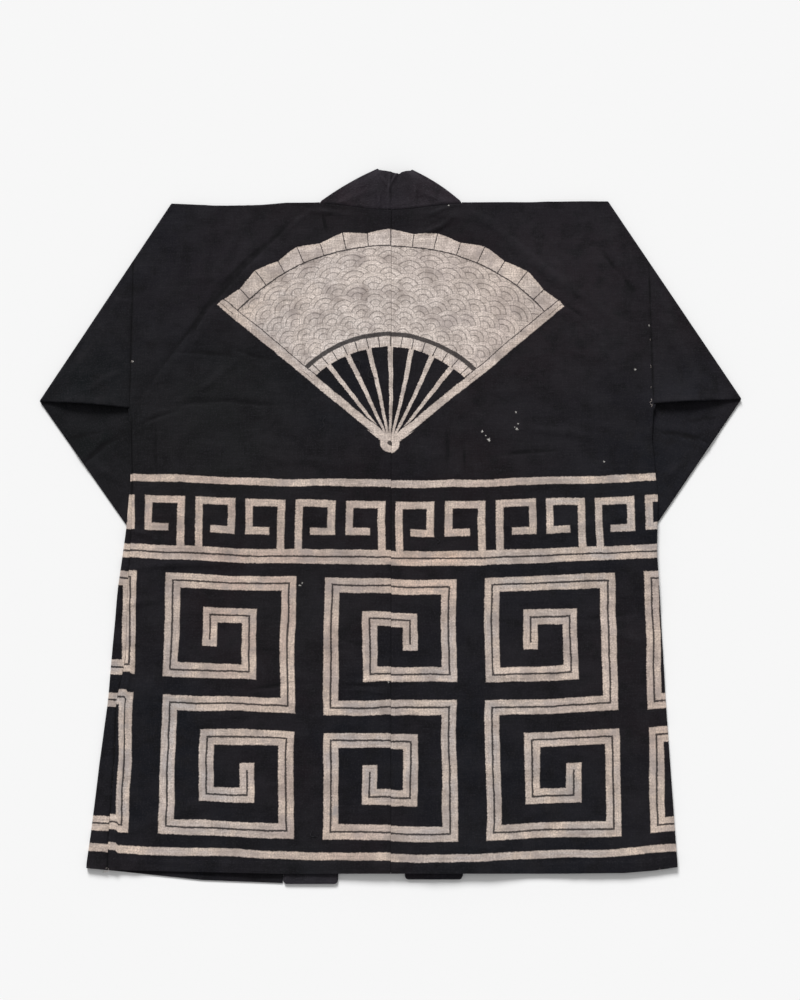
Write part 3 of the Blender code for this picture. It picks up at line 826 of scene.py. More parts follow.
def settle(points):
    """Moves points of the flat lay-out to where the folded coat has them.

    Past the sleeve's folding axis a point turns about it by up to half a turn, and then goes
    back under. Before it, the point rises by what lies below and by the creases, and the back
    never sinks into the layer beneath. The folded-under parts then get their own creases.
    """
    x, y, z = points.T
    upper = ease(z, LAYER, PITCH)
    fine = crumple(x, y) + hem_ridge(x, y) + side_tuck(x, y) - seam_dip(x, y)
    rise = mounds(FOLDS, x, y, upper) + mounds(CREASES, x, y, upper) + upper * fine
    rise = np.maximum(rise, mounds(FOLDS, x, y, 0.0) + mounds(CREASES, x, y, 0.0))
    lying = z + base(x, y) + upper * bridge(x, y)
    above = z + FOLDED - FOLD_AXIS_Z
    settled = np.stack([x, y, z], axis=1)
    for side, sign in SIGN.items():
        origin, _, outward = fold_frame(side)
        past = (sign * x - origin[0]) * outward[0] + (y - origin[1]) * outward[1]
        angle = np.clip(past / FOLD_MIDDLE, 0.0, math.pi)
        beyond = np.maximum(past - math.pi * FOLD_MIDDLE, 0.0)
        shift = np.where(past > 0, above * np.sin(angle) - beyond - past, 0.0)
        before = lying + ease(-past, 0, FOLD_FADE) * rise
        height = np.where(past > 0, FOLD_AXIS_Z + above * np.cos(angle), before)
        folded = np.stack([x + sign * outward[0] * shift, y + outward[1] * shift, height], axis=1)
        settled = np.where((sign * x >= 0)[:, None], folded, settled)
    x, y, z = settled.T
    flap = np.maximum(mounds(FLAP_SWELLS, x, y, 1.0) + mounds(FLAP_CREASES, x, y, 1.0), 0.0)
    return np.stack([x, y, z + unevenness(x, y) + flap], axis=1)


def shell(middle, normal, cells, thick, flat, ring=False):
    """Points and quads of a closed wall round a grid of middle points.

    Each side is middle plus or minus half the thickness along the normal. The rim joins the
    two sides along every edge that only one cell uses. ring joins the last column to the first.
    """
    rows, columns = middle.shape[:2]
    number = np.arange(rows * columns).reshape(rows, columns)
    if ring:
        number = np.hstack([number, number[:, :1]])
    half = np.broadcast_to(thick, (rows, columns))[..., None] * normal / 2
    points = np.concatenate([(middle + half).reshape(-1, 3), (middle - half).reshape(-1, 3)])
    count = rows * columns
    corners = np.stack([number[:-1, :-1], number[:-1, 1:], number[1:, 1:], number[1:, :-1]], axis=-1)
    quads = corners[cells]
    faces = [quads, quads[:, ::-1] + count]
    padded = np.pad(cells, 1)
    if ring:
        padded[1:-1, 0], padded[1:-1, -1] = cells[:, -1], cells[:, 0]
    below, above = padded[:-1, 1:-1], padded[1:, 1:-1]
    before, after = padded[1:-1, :-1], padded[1:-1, 1:]
    edges = [
        np.stack([number[:, :-1], number[:, 1:]], -1)[above & ~below],
        np.stack([number[:, 1:], number[:, :-1]], -1)[below & ~above],
        np.stack([number[1:], number[:-1]], -1)[after & ~before],
        np.stack([number[:-1], number[1:]], -1)[before & ~after],
    ]
    if ring:
        edges = edges[:2]
    rim = np.concatenate(edges)
    faces.append(np.stack([rim[:, 1], rim[:, 0], rim[:, 0] + count, rim[:, 1] + count], -1))
    faces = np.concatenate(faces)
    used, faces = np.unique(faces, return_inverse=True)
    flat = np.concatenate([flat.reshape(-1, 3)] * 2)
    return points[used], faces.reshape(-1, 4), flat[used]


def cloth_object(name, points, faces, flat, material, fold=None):
    """Makes a piece of cloth, cut along its sleeve's folding lines."""
    mesh = bpy.data.meshes.new(name)
    mesh.from_pydata(points, [], faces.tolist())
    mesh.attributes.new("flat", "FLOAT_VECTOR", "POINT").data.foreach_set("vector", flat.ravel())
    bm = bmesh.new()
    bm.from_mesh(mesh)
    bmesh.ops.remove_doubles(bm, verts=bm.verts[:], dist=1e-6)
    if fold:
        sign = SIGN[fold]
        origin, _, outward = fold_frame(fold)
        for step in np.linspace(0, math.pi * FOLD_MIDDLE, FOLD_CUTS):
            out, y = origin + step * outward
            everything = bm.verts[:] + bm.edges[:] + bm.faces[:]
            at, way = (sign * out, y, 0), (sign * outward[0], outward[1], 0)
            bmesh.ops.bisect_plane(bm, geom=everything, dist=3e-5, plane_co=at, plane_no=way)
    if bm.calc_volume(signed=True) < 0:
        bmesh.ops.reverse_faces(bm, faces=bm.faces[:])
    bm.to_mesh(mesh)
    bm.free()
    return finish_object(name, mesh, material)


def finish_object(name, mesh, material):
    """Puts a mesh into the scene as a piece that rides with the coat."""
    mesh.shade_smooth()
    mesh.set_sharp_from_angle(angle=math.radians(50))
    mesh.materials.append(material)
    piece = bpy.data.objects.new(name, mesh)
    bpy.context.scene.collection.objects.link(piece)
    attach(piece, "root")
    return piece


def back_relief(x, y):
    """The fine relief that the colour follows on the back, its creases and its seams: worn dye and painted
    highlight on ridges, painted shade in troughs and seams.
    """
    return mounds(CREASES, x, y, 1.0) - seam_dip(x, y)


def collar_relief(x, y):
    """The same on the collar."""
    return mounds(COLLAR_CREASES, x, y, 1.0)


def settle_object(piece, way=settle, relief=back_relief, lift=0.0):
    """Settles every vertex of a piece that was made flat, and marks its edges and creases."""
    mesh = piece.data
    points = np.empty(len(mesh.vertices) * 3, np.float32)
    mesh.vertices.foreach_get("co", points)
    flat = points.reshape(-1, 3).astype(float)
    settled = way(flat) + (0.0, 0.0, lift)
    mesh.vertices.foreach_set("co", settled.astype(np.float32).ravel())
    mesh.update()
    normals = np.empty(len(mesh.vertices) * 3, np.float32)
    mesh.vertex_normals.foreach_get("vector", normals)
    edge = ease(1 - np.abs(normals[2::3]), *WORN_EDGE)
    mesh.attributes.new("edge", "FLOAT", "POINT").data.foreach_set("value", edge)
    # Crease relief: the material paints shade in its troughs and seams, and worn dye with painted highlight
    # on its ridges
    crease = relief(*flat[:, :2].T) + mounds(FLAP_CREASES, *settled[:, :2].T, 1.0)
    mesh.attributes.new("crease", "FLOAT", "POINT").data.foreach_set("value", crease / CREASE_RISE)


def side_roll(side, y):
    """How much of its half turn the side's edge has made: none at the armhole's foot."""
    return 1 - np.clip((y - FOOT[side][1] + ROLL_DEPTH) / ROLL_DEPTH, 0.0, 1.0)


def body_layout(side, thick):
    """One loom width from the back hem over the shoulder to the front hem, as a shell.

    Rows run up the back, round the shoulder's half turn and down the front. Columns run from the
    centre to the collar's seam, on to the armhole or side seam, under the side's edge, round it
    and back over it. flat keeps each point's place on the unrolled cloth: how far round from the
    centre back, how far up, and 1 on the back.
    """
    sign = SIGN[side]
    foot_y = FOOT[side][1]
    roll_end = foot_y - ROLL_DEPTH
    hem_stops = [HEM_Y + above for above in (0, *HEM_STRETCHES)]
    stops = (*hem_stops, roll_end, foot_y, TOP_Y - TOP_STRETCH, TOP_Y)
    back = stretches(stops, BACK_ROWS)
    front = stretches(stops, FRONT_ROWS)[::-1]
    level = np.concatenate([back, TOP_Y + 0 * HALF_TURN, front])[:, None]
    turned = np.concatenate([0 * back, HALF_TURN, 0 * front])[:, None]
    on_front = np.concatenate([0 * back, 0 * HALF_TURN, 1 + 0 * front])[:, None] > 0
    in_turn = turned > 0

    inner = stretches(*NECK_COLUMNS)
    panel = stretches(*PANEL_COLUMNS)
    under = roll = np.linspace(0, 1, SIDE_COLUMNS + 1)
    wrap = np.linspace(0, 1, WRAP_COLUMNS + 1)
    start = sign * CENTRE_SEAM_X + GAP / 2
    seam = band_seam(side, level) + GAP
    rolled = side_roll(side, level)
    axis = look_up(SIDE[side], "out", "y", level) - REACH
    lap = look_up(SIDE[side], "wrap", "y", level)
    free = FOOT[side][0] - GAP / 2
    end = free + rolled * (axis - lap - GAP - free)
    end = np.where(level >= foot_y, armhole(side, level) - GAP / 2, end)
    distance = np.hstack([math.pi * TURN * roll + 0 * lap, math.pi * TURN + lap * wrap[1:]])
    angle = np.clip(distance / TURN, 0, rolled * math.pi)
    beyond = distance - angle * TURN
    rounded = axis + TURN * np.sin(angle) + np.cos(angle) * beyond
    flat_out = [
        start + (seam - start) * inner,
        seam + (end - seam) * panel[1:],
        end + (axis - end) * under[1:],
    ]
    out = np.hstack([*flat_out, rounded[:, 1:]])
    neck_columns = len(inner) - 1
    main = neck_columns + len(panel) - 1
    shown = main + len(under) - 1
    column = np.arange(out.shape[1])
    side_angle = np.zeros_like(out)
    side_angle[:, shown:] = angle
    gone = np.zeros_like(out)
    gone[:, shown:] = distance

    x = sign * out
    top = np.where(column < neck_columns, neck_seam(x) - NECK_GAP, shoulder_axis(x))
    hem = np.where(on_front, look_up(FRONT_HEM, "y", "x", x), look_up(BACK_HEM, "y", "x", x))
    near_top = 1 - ease(TOP_Y - level, 0, TOP_BLEND)
    near_hem = 1 - ease(level - HEM_Y, 0, HEM_BLEND)
    y = level + (top - TOP_Y) * near_top + (hem - HEM_Y) * near_hem
    y = np.where((column > main) & (level >= foot_y), y - 3 * GAP, y)
    facing = np.where(on_front, side_angle, math.pi - side_angle)
    z = np.where(in_turn, layer_height(math.pi - turned), layer_height(facing))
    zero = np.zeros_like(out)
    lying = np.stack([sign * np.sin(facing), zero, -np.cos(facing)], -1)
    bent = np.stack([zero, zero + np.sin(turned), zero + np.cos(turned)], -1)
    normal = np.where(in_turn[..., None], bent, lying)
    middle = np.stack([x, y + TURN * np.sin(turned), z], -1)

    round_way = math.pi * TURN + lap
    y_flat = y
    if side == "left":
        lower = end + round_way + np.where(gone > 0, 0.0, axis - np.minimum(out, axis)) - gone
        around = np.where(on_front, lower, out)
        tuck = end - TUCK_IN
        past_tuck = ease(out, tuck - TUCK_LINE, tuck + TUCK_LINE) * ease(level, *TUCK_SLIP_FADE)
        around = around + TUCK_SLIP[0] * past_tuck
        y_flat = y - TUCK_SLIP[1] * past_tuck * ~on_front
    else:
        upper = np.where(gone > 0, axis + gone, out)
        around = np.where(on_front, axis + round_way + end - out, upper)
    flat = np.stack([sign * around, y_flat, zero + ~on_front], -1)

    cells = np.zeros((len(level) - 1, len(column) - 1), bool)
    foot_row = int(np.argmin(np.abs(back - foot_y)))
    cells[:, neck_columns:main] = True
    cells[: len(back) - 1, :neck_columns] = True
    if side == "left":
        front_foot = len(level) - 1 - int(np.argmin(np.abs(front[::-1] - foot_y)))
        cells[front_foot:, main:] = True
    else:
        cells[:foot_row, main:] = True
    return shell(middle, normal, cells, thick, flat)


def sleeve_layout(side, thick):
    """Flattened tube from the armhole to the cuff, as a shell.

    A row is one loop round the tube: up the upper layer, over the top, down the lower layer and
    round the foot. Rows step from the armhole outward.
    """
    sign = SIGN[side]
    layer = stretches(*SLEEVE_COLUMNS)
    share = np.concatenate([layer, 1 + 0 * HALF_TURN, layer[::-1], 0 * HALF_TURN])
    angle = np.concatenate([math.pi + 0 * layer, math.pi - HALF_TURN, 0 * layer, HALF_TURN])
    bulge = np.concatenate([0 * layer, np.sin(HALF_TURN), 0 * layer, -np.sin(HALF_TURN)])
    near, far = SLEEVE_STRETCHES
    along = stretches((0, near, SLEEVE_LENGTH - far, SLEEVE_LENGTH), SLEEVE_ROWS)[:, None]
    rough = FOOT[side][0] + along
    low = sleeve_foot(side, rough) + REACH
    y = low + (shoulder_axis(sign * rough) - low) * share
    out = armhole(side, y) + GAP / 2 + along
    zero = np.zeros_like(out)
    middle = np.stack([sign * out, y + TURN * bulge, zero + layer_height(angle)], -1)
    normal = np.stack([zero, zero + bulge, zero - np.cos(angle)], -1)
    flat = np.stack([sign * out, y, zero + (angle > 1)], -1)
    cells = np.ones((len(along) - 1, len(share)), bool)
    return shell(middle, normal, cells, thick, flat, ring=True)


def allowance_layout(thick):
    """The turned-in cloth along the centre-back seam, from the neck to the hem, as a shell."""
    low, high = ALLOWANCE_SHORT
    y = stretches((HEM_Y + low, TOP_Y - NECK_DROP - high), ALLOWANCE_ROWS)[:, None]
    x = CENTRE_SEAM_X + ALLOWANCE * np.linspace(-1, 1, 7) + 0 * y
    middle = np.stack([x, y + 0 * x, layer_height(math.pi) + 0 * x], -1)
    normal = np.zeros_like(middle) + (0.0, 0.0, 1.0)
    cells = np.ones((len(y) - 1, x.shape[1] - 1), bool)
    return shell(middle, normal, cells, thick, middle * (1.0, 1.0, 0.0))


def collar_fold(side, share):
    """Points of the axis that the band folds over, from its seam edge to its free edge."""
    sign = SIGN[side]
    start = np.array([sign * COLLAR_FOLD_START[0], COLLAR_FOLD_START[1]])
    along = np.array(COLLAR_PEAK[side]) - start
    length = np.linalg.norm(along)
    along /= length
    outward = np.array([-along[1], along[0]]) * -sign
    bow = COLLAR_FOLD_BOW[side] * np.sin(math.pi * share)
    return start + length * share[:, None] * along + outward * (bow - COLLAR_REACH)[:, None], outward


def collar_layout(thick):
    """The doubled band from its left end, over both folds and round the neck, as a shell.

    Sections follow the band: straight down each front, half a turn over each slanting fold, and
    a blend between the neck's seam and the wavy free edge behind the neck.
    """
    share = stretches(*BAND_COLUMNS)
    down = stretches(*BAND_ROWS)[1:]
    turn = np.linspace(0, math.pi, BAND_FOLD_SECTIONS)
    across = np.linspace(0, 1, NECK_SECTIONS)[1:-1, None]
    low, high = BAND / 2, BAND / 2 + 2 * COLLAR_TURN

    def front(side):
        at, _ = collar_fold(side, share)
        free = BAND_SEAM_AT_HEM[side] + (BAND_FREE_AT_HEM[side] - BAND_SEAM_AT_HEM[side]) * share
        width = abs(BAND_SEAM_AT_HEM[side] - BAND_FREE_AT_HEM[side])
        near = np.clip(1 - np.minimum(share, 1 - share) * width / BAND_CORNER, 0, 1)
        end_y = BAND_END_Y[side] + BAND_CORNER * (1 - np.sqrt(1 - near**2))
        end = np.stack([SIGN[side] * free, end_y], -1)
        place = at + (end - at) * down[:, None, None]
        height = np.full((*place.shape[:2], 1), low)
        way = np.broadcast_to((0.0, 0.0, -1.0), (*place.shape[:2], 3))
        return np.concatenate([place, height], -1), way

    def folded(side):
        at, outward = collar_fold(side, share)
        sine, cosine = np.sin(turn)[:, None, None], np.cos(turn)[:, None, None]
        place = at + outward * COLLAR_TURN * sine
        height = low + COLLAR_TURN * (1 - cosine) + 0 * place[..., :1]
        way = np.concatenate([outward * sine + 0 * place, -cosine + 0 * height], -1)
        return np.concatenate([place, height], -1), way

    def neck():
        x = -NECK_OUT + 2 * NECK_OUT * across
        top_x = COLLAR_TOP["x"][0] + (COLLAR_TOP["x"][-1] - COLLAR_TOP["x"][0]) * across
        top_y = look_up(COLLAR_TOP, "y", "x", top_x) - COLLAR_REACH * np.abs(2 * across - 1) ** 4
        lift = look_up(COLLAR_TOP, "lift", "x", top_x)
        crown = COLLAR_LOFT * np.sin(math.pi * across) * np.sin(math.pi * share / 2) ** 2
        y = neck_seam(x)
        height = high + crown + lift * share**2
        place = np.stack([x + (top_x - x) * share, y + (top_y - y) * share, height], -1)
        return place, np.broadcast_to((0.0, 0.0, 1.0), place.shape)

    def reversed_rows(part):
        return [rows[::-1] for rows in part]

    left = [reversed_rows(front("left")), folded("left")]
    parts = [*left, neck(), reversed_rows(folded("right")), front("right")]
    middle = np.concatenate([part[0] for part in parts])
    normal = np.concatenate([part[1] for part in parts])
    steps = np.linalg.norm(np.diff(middle[:, len(share) // 2], axis=0), axis=1)
    along = np.concatenate([[0], np.cumsum(steps)])[:, None] + 0 * share
    width = np.linalg.norm(middle[:, -1] - middle[:, 0], axis=1).mean()
    flat = np.stack([width * share + 0 * along, along, 0 * along], -1)
    edge = np.minimum(1 - share, share) * width / (thick / 2)
    rounded = np.sqrt(np.clip(1 - (1 - np.minimum(edge, 1)) ** 2, 0.06, 1))
    cells = np.ones((len(middle) - 1, len(share) - 1), bool)
    return shell(middle, normal, cells, thick * rounded, flat)


def settle_collar(points):
    """Lifts the band onto what it lies on, and creases it where it bends behind the neck."""
    x, y, z = points.T
    upper = ease(z, BAND, BAND + GAP)
    crease = 0.5 * crumple(x, y) + mounds(COLLAR_CREASES, x, y, 1.0)
    return np.stack([x, y, z + base(x, y) + unevenness(x, y) + upper * crease], axis=1)


def tubes(routes, radius, sides=6):
    """Points and faces of round threads, one a route of the same number of stations."""
    ahead = np.gradient(routes, axis=1)
    ahead = ahead / np.linalg.norm(ahead, axis=-1, keepdims=True)
    aside = np.cross(ahead, (0.0, 0.0, 1.0))
    aside = aside / np.linalg.norm(aside, axis=-1, keepdims=True)
    upward = np.cross(aside, ahead)
    angle = np.arange(sides)[:, None] * 2 * math.pi / sides
    taper = np.ones(routes.shape[1])
    taper[[0, -1]] = 0.45
    ring = np.cos(angle) * aside[:, :, None] + np.sin(angle) * upward[:, :, None]
    points = routes[:, :, None] + radius * taper[:, None, None] * ring
    number = np.arange(points[..., 0].size).reshape(points.shape[:3])
    beside = np.roll(number, -1, axis=2)
    walls = np.stack([number[:, :-1], beside[:, :-1], beside[:, 1:], number[:, 1:]], -1)
    caps = np.concatenate([number[:, 0, ::-1], number[:, -1]])
    return points.reshape(-1, 3), walls.reshape(-1, 4).tolist() + caps.tolist()


def stitch_routes(x, y, slant=0.0):
    """Four stations for each stitch: in at one end, over the cloth, and in at the other."""
    share = np.array((-0.5, -0.3, 0.3, 0.5)) * STITCH_LENGTH
    height = CLOTH_TOP + THREAD * np.array((-1.0, 0.25, 0.25, -1.0))
    heading = np.arctan2(np.gradient(y), np.gradient(x))[:, None] + slant
    across, up = x[:, None] + share * np.cos(heading), y[:, None] + share * np.sin(heading)
    return np.stack([across, up, height + 0 * heading], -1)


def loose_routes(rows, stations=28):
    """Routes of loose thread ends that curl and waver as they go."""
    share = np.linspace(0, 1, stations)
    start = np.radians(rows["heading"])[:, None]
    heading = start + rows["curl"][:, None] * share + 0.7 * np.sin(9 * share + 3 * start)
    step = rows["long"][:, None] / stations
    x = rows["x"][:, None] + np.cumsum(step * np.cos(heading), axis=1)
    y = rows["y"][:, None] + np.cumsum(step * np.sin(heading), axis=1)
    z = CLOTH_TOP + 0.6 * THREAD + rows["loft"][:, None] * np.sin(math.pi * share)
    return np.stack([x, y, z - rows["drop"][:, None] * share**2], -1)


def thread_object(name, routes, radius, material):
    """Joins threads into one piece and settles it with the cloth."""
    points, faces = tubes(np.asarray(routes), radius)
    mesh = bpy.data.meshes.new(name)
    mesh.from_pydata(points, [], faces)
    bm = bmesh.new()
    bm.from_mesh(mesh)
    bmesh.ops.recalc_face_normals(bm, faces=bm.faces[:])
    bm.to_mesh(mesh)
    bm.free()
    piece = finish_object(name, mesh, material)
    settle_object(piece)
    return piece


class Field:
    """A value that changes over the surface: a node's output. Arithmetic on it adds nodes."""

    def __init__(self, socket):
        self.socket = socket
        self.tree = socket.id_data

    def __add__(self, other):
        return calculate("ADD", self, other)

    def __sub__(self, other):
        return calculate("SUBTRACT", self, other)

    def __rsub__(self, other):
        return calculate("SUBTRACT", other, self)

    def __mul__(self, other):
        return calculate("MULTIPLY", self, other)

    def __truediv__(self, other):
        return calculate("DIVIDE", self, other)

    def __abs__(self):
        return calculate("ABSOLUTE", self)


def feed(socket, value):
    """Links a field to an input, or sets a number or a colour on the input itself."""
    if isinstance(value, Field):
        value.tree.links.new(value.socket, socket)
    elif socket.type == "RGBA":
        socket.default_value = (*value, 1.0)
    else:
        socket.default_value = value


def add_node(tree, kind, inputs=(), **settings):
    """Adds a node with these settings and feeds its inputs, which are given by name or number."""
    node = tree.nodes.new(kind)
    for name, value in settings.items():
        setattr(node, name, value)
    for key, value in dict(inputs).items():
        feed(node.inputs[key], value)
    return node


def work_out(kind, inputs, output=0, **settings):
    """Adds a node to the tree that its inputs come from, and returns its output."""
    tree = next(value.tree for value in inputs.values() if isinstance(value, Field))
    return Field(add_node(tree, kind, inputs, **settings).outputs[output])


def calculate(operation, *values):
    """What a Math node makes of numbers and fields."""
    return work_out("ShaderNodeMath", dict(enumerate(values)), operation=operation)


def vector(operation, *values):
    """What a Vector Math node makes of places and fields of places."""
    output = "Value" if operation in ("LENGTH", "DISTANCE") else "Vector"
    return work_out("ShaderNodeVectorMath", dict(enumerate(values)), output, operation=operation)


def pingpong(value, span):
    """Up from 0 to the span and back, again and again."""
    return calculate("PINGPONG", value, span)


def highest(*values):
    return functools.reduce(lambda a, b: calculate("MAXIMUM", a, b), values)


def lowest(*values):
    return functools.reduce(lambda a, b: calculate("MINIMUM", a, b), values)


def scaled(place, x, y, z=1.0):
    return vector("MULTIPLY", place, (x, y, z))


def parts_of(place):
    node = add_node(place.tree, "ShaderNodeSeparateXYZ", {0: place})
    return [Field(socket) for socket in node.outputs]


def joined(x, y):
    return work_out("ShaderNodeCombineXYZ", {0: x, 1: y})


def noise(place, scale, detail=2.0, roughness=0.5, output=0):
    """Noise at a place: a value of about 0 to 1, or with output 1 three of them as a colour."""
    inputs = {"Vector": place, "Scale": scale, "Detail": detail, "Roughness": roughness}
    return work_out("ShaderNodeTexNoise", inputs, output)


def wavered(place, reach, scale, detail, start=None):
    """The place, or the start given, moved about by noise of up to half the reach in X and Y."""
    moved = vector("SUBTRACT", noise(place, scale, detail, output=1), (0.5, 0.5, 0.5))
    return vector("MULTIPLY_ADD", moved, (reach, reach, 0.0), start or place)


def step(value, low, high):
    """0 below low and 1 above high, with a smooth slope between."""
    return work_out("ShaderNodeMapRange", {0: value, 1: low, 2: high}, interpolation_type="SMOOTHSTEP")


def within(distance, reach, blur=BLUR):
    """1 where a distance is under reach, with a soft edge."""
    return step(distance, reach + blur, reach - blur)


def mix(share, a, b):
    """Colour a where the share is 0 and b where it is 1."""
    return work_out("ShaderNodeMix", {0: share, 6: a, 7: b}, 2, data_type="RGBA")


def bumped(height, strength, distance):
    """The normals that a field of height gives a surface."""
    return work_out("ShaderNodeBump", {"Strength": strength, "Distance": distance, "Height": height})


def tinted(colour, shares):
    """A colour with its red, green and blue each multiplied by a share."""
    return tuple(c * k for c, k in zip(colour, shares))


def layered(colour, own, *layers):
    """A colour with others over it: each a share, and a tint of the cloth's own colour."""
    for share, tint in layers:
        colour = mix(share, colour, tinted(own, tint))
    return colour


def dabbed(colour, own, place, rows, core):
    """A colour with a table's round dabs over it: full up to a share of their size, then fading."""
    for row in each(rows):
        away = vector("DISTANCE", place, (row["x"], row["y"], 0.0))
        share = step(away, row["size"], row["size"] * core) * row["strength"]
        colour = mix(share, colour, tinted(own, (row["red"], row["green"], row["blue"])))
    return colour


def plain_weave(flat, threads):
    """Plain weave: warp over weft and weft over warp by turns, with thicker slubs here and there."""
    scale, reach = WANDER
    bent = vector("MULTIPLY_ADD", noise(flat, scale, 1.0, output=1), (reach, reach, 0.0), flat)
    x, y, _ = parts_of(bent)
    across, up = x * threads, y * threads
    warp, weft = (abs(calculate("SINE", way * math.pi)) for way in (across, up))
    over = pingpong(calculate("FLOOR", across) + calculate("FLOOR", up), 1.0)
    woven = warp * over + weft - weft * over
    long_way, cross_way = (noise(scaled(flat, *scales), 1.0) for scales in SLUBS)
    slub = (long_way + cross_way) * 0.5
    height = slub * SLUB_RISE + woven * WOVEN_RISE
    for x_scale, y_scale, rise in PUCKERS:
        height = noise(scaled(bent, x_scale, y_scale), 1.0, 3.0, 0.55) * rise + height
    return height, slub, noise(flat, GRAIN, 2.0, 0.75)


def dye_clouding(place):
    """Uneven dye and age: slow drifts of tone and from cool to warm, blotches and faded spots."""
    return [
        step(noise(vector("ADD", place, (x, y, 0.0)), scale, detail, roughness), low, high)
        for x, y, scale, detail, roughness, low, high in CLOUDING.values()
    ]


def turned_about(rows, u, v):
    """The rows and the same rows turned half round about a point."""
    other = {**rows, "u": 2 * u - rows["u"], "v": 2 * v - rows["v"]}
    return {name: np.concatenate([rows[name], other[name]]) for name in rows}


def bar_distance(u, v, rows):
    """Distance to the nearest of the rows' centre lines, measured square, so bars end square."""
    point = joined(u, v)
    distances = []
    for row in each(rows):
        away = vector("ABSOLUTE", vector("SUBTRACT", point, (row["u"], row["v"], 0.0)))
        x, y, _ = parts_of(vector("SUBTRACT", away, (row["half_u"], row["half_v"], 0.0)))
        distances.append(highest(x, y))
    return lowest(*distances)


def between(value, low, high, edge):
    """1 from low to high, with slopes of this length just inside."""
    return step(value, low, low + edge) * step(value, high, high - edge)


def fret_masks(x, y):
    """Cream, dark-line and inner masks of the hem's two tiers of key fret and their borders."""
    sagged = y - x * x * BORDER_SAG
    wide, thin = WIDE_BAR / 2, THIN_BAR / 2
    top, divider, low = (abs(sagged - level) for level in (TOP_BORDER_Y, DIVIDER_Y, LOW_BORDER_Y))
    tall_rows = turned_about(TALL_FRET, TALL_REPEAT / 2, TALL_HEIGHT / 2)
    tall_u = pingpong(x + TALL_REPEAT / 2, TALL_REPEAT)
    tall = bar_distance(tall_u, sagged - (LOW_BORDER_Y + thin), tall_rows)
    short = bar_distance(pingpong(x, SHORT_REPEAT), sagged - (DIVIDER_Y + wide), SHORT_FRET)
    in_tall = between(sagged, LOW_BORDER_Y, DIVIDER_Y, HARD)
    in_short = between(sagged, DIVIDER_Y, TOP_BORDER_Y, HARD)

    def bars(narrower, blur):
        return highest(
            within(top, thin - narrower, blur),
            within(divider, wide - narrower, blur),
            within(low, thin - narrower, blur),
            in_tall * within(tall, wide - narrower, blur),
            in_short * within(short, thin - narrower, blur),
        )

    half = RESIST_LINE / 2
    line = highest(within(divider, half, LINE_BLUR), in_tall * within(tall, half, LINE_BLUR))
    return bars(0.0, BLUR), line, bars(RIM, RIM_BLUR)


def fan_masks(x, y, back):
    """Cream, dark-line and inner masks of the open fan: a pleated leaf, its sticks and two guards.

    Places are polar about the pivot: r from it, and the angle from straight up. The leaf's outer
    edge runs in shallow points, one to a pleat.
    """
    up = y - FAN_PIVOT_Y
    r = vector("LENGTH", joined(x, up))
    angle = calculate("ARCTAN2", x, up)
    pleat = 2 * FAN_HALF_ANGLE / PLEATS
    to_side = (FAN_HALF_ANGLE - abs(angle)) * r
    outer = FAN_RADIUS - pingpong(angle, pleat) * PLEAT_POINT
    leaf = lowest(outer - r, r - LEAF_RADIUS, to_side)
    on_leaf = step(leaf, -LEAF_BLUR, LEAF_BLUR)
    inside_stick = r * STICK_GROWTH + STICK_HALF - pingpong(angle, pleat) * r
    stick = step(inside_stick, -STICK_BLUR, STICK_BLUR) * step(r, LEAF_RADIUS + STICK_END, LEAF_RADIUS)
    stick = stick * step(to_side, *STICKS_OUT)
    guard = within(abs(to_side - GUARD_IN), GUARD_HALF) * step(r, FAN_RADIUS, FAN_RADIUS - STICK_END)
    guard = guard * step(up, *GUARD_ENDS)
    cream = highest(on_leaf, stick, guard, within(r, BOSS))
    inside = on_leaf * step(to_side, *LINES_IN)
    pleat_line = within(pingpong(angle, pleat / 2) * r, FINE_HALF, FINE_BLUR) * on_leaf
    line = highest(
        within(abs(r - LOW_ARC), LOW_ARC_HALF) * inside,
        within(abs(r - HIGH_ARC), HIGH_ARC_HALF, FINE_BLUR) * inside,
        scale_lines(angle, r, to_side) * on_leaf * SCALE_INK,
        pleat_line * step(r, HIGH_ARC, HIGH_ARC + LEAF_BLUR),
        pleat_line * step(r, LOW_ARC, LOW_ARC - LEAF_BLUR),
        within(abs(to_side - GUARD_LINE), FINE_HALF, FINE_BLUR) * step(r, *GUARD_LINE_FROM),
        within(r, BOSS_HOLE),
    )
    return cream * back, line * back, step(leaf, RIM - RIM_BLUR, RIM + RIM_BLUR) * back


def scale_lines(angle, r, to_side):
    """Overlapping wave scales between the leaf's arcs.

    Lengths are in a scale's own radius. near is the distance from the middle of the scale in
    this row, and far from the one in the row below, which lies in front where it reaches.
    """
    down = (r - SCALES_LOW) / ((SCALES_HIGH - SCALES_LOW) / SCALE_ROWS)
    row = calculate("FLOOR", down)
    up = (down - row) * 0.5
    across = angle / (2 * FAN_HALF_ANGLE / SCALE_COLUMNS)
    aside = pingpong(across + pingpong(row, 1.0) * 0.5, 0.5) * 2.0
    near = vector("LENGTH", joined(aside, up))
    far = vector("LENGTH", joined(1.0 - aside, up + 0.5))
    in_front = calculate("LESS_THAN", far, 1.0)
    ring = far * in_front + near * (1.0 - in_front)
    line = step(pingpong(ring - RING_START, RING_EVERY), *RING_LINE) * step(ring, *RING_CENTRE)
    on_leaf = between(r, SCALES_LOW, SCALES_HIGH, FINE_BLUR)
    return line * (on_leaf * step(to_side, *SCALES_IN))


def resist_print(flat):
    """Resist print: a folding fan on the back, and key fret round the hem, with wavering edges."""
    wavy = flat
    for scale, reach in WAVERS:
        wavy = wavered(flat, reach, scale, 1.0, wavy)
    x, y, back = parts_of(wavy)
    return [highest(*masks) for masks in zip(fret_masks(x, y), fan_masks(x, y, back))]


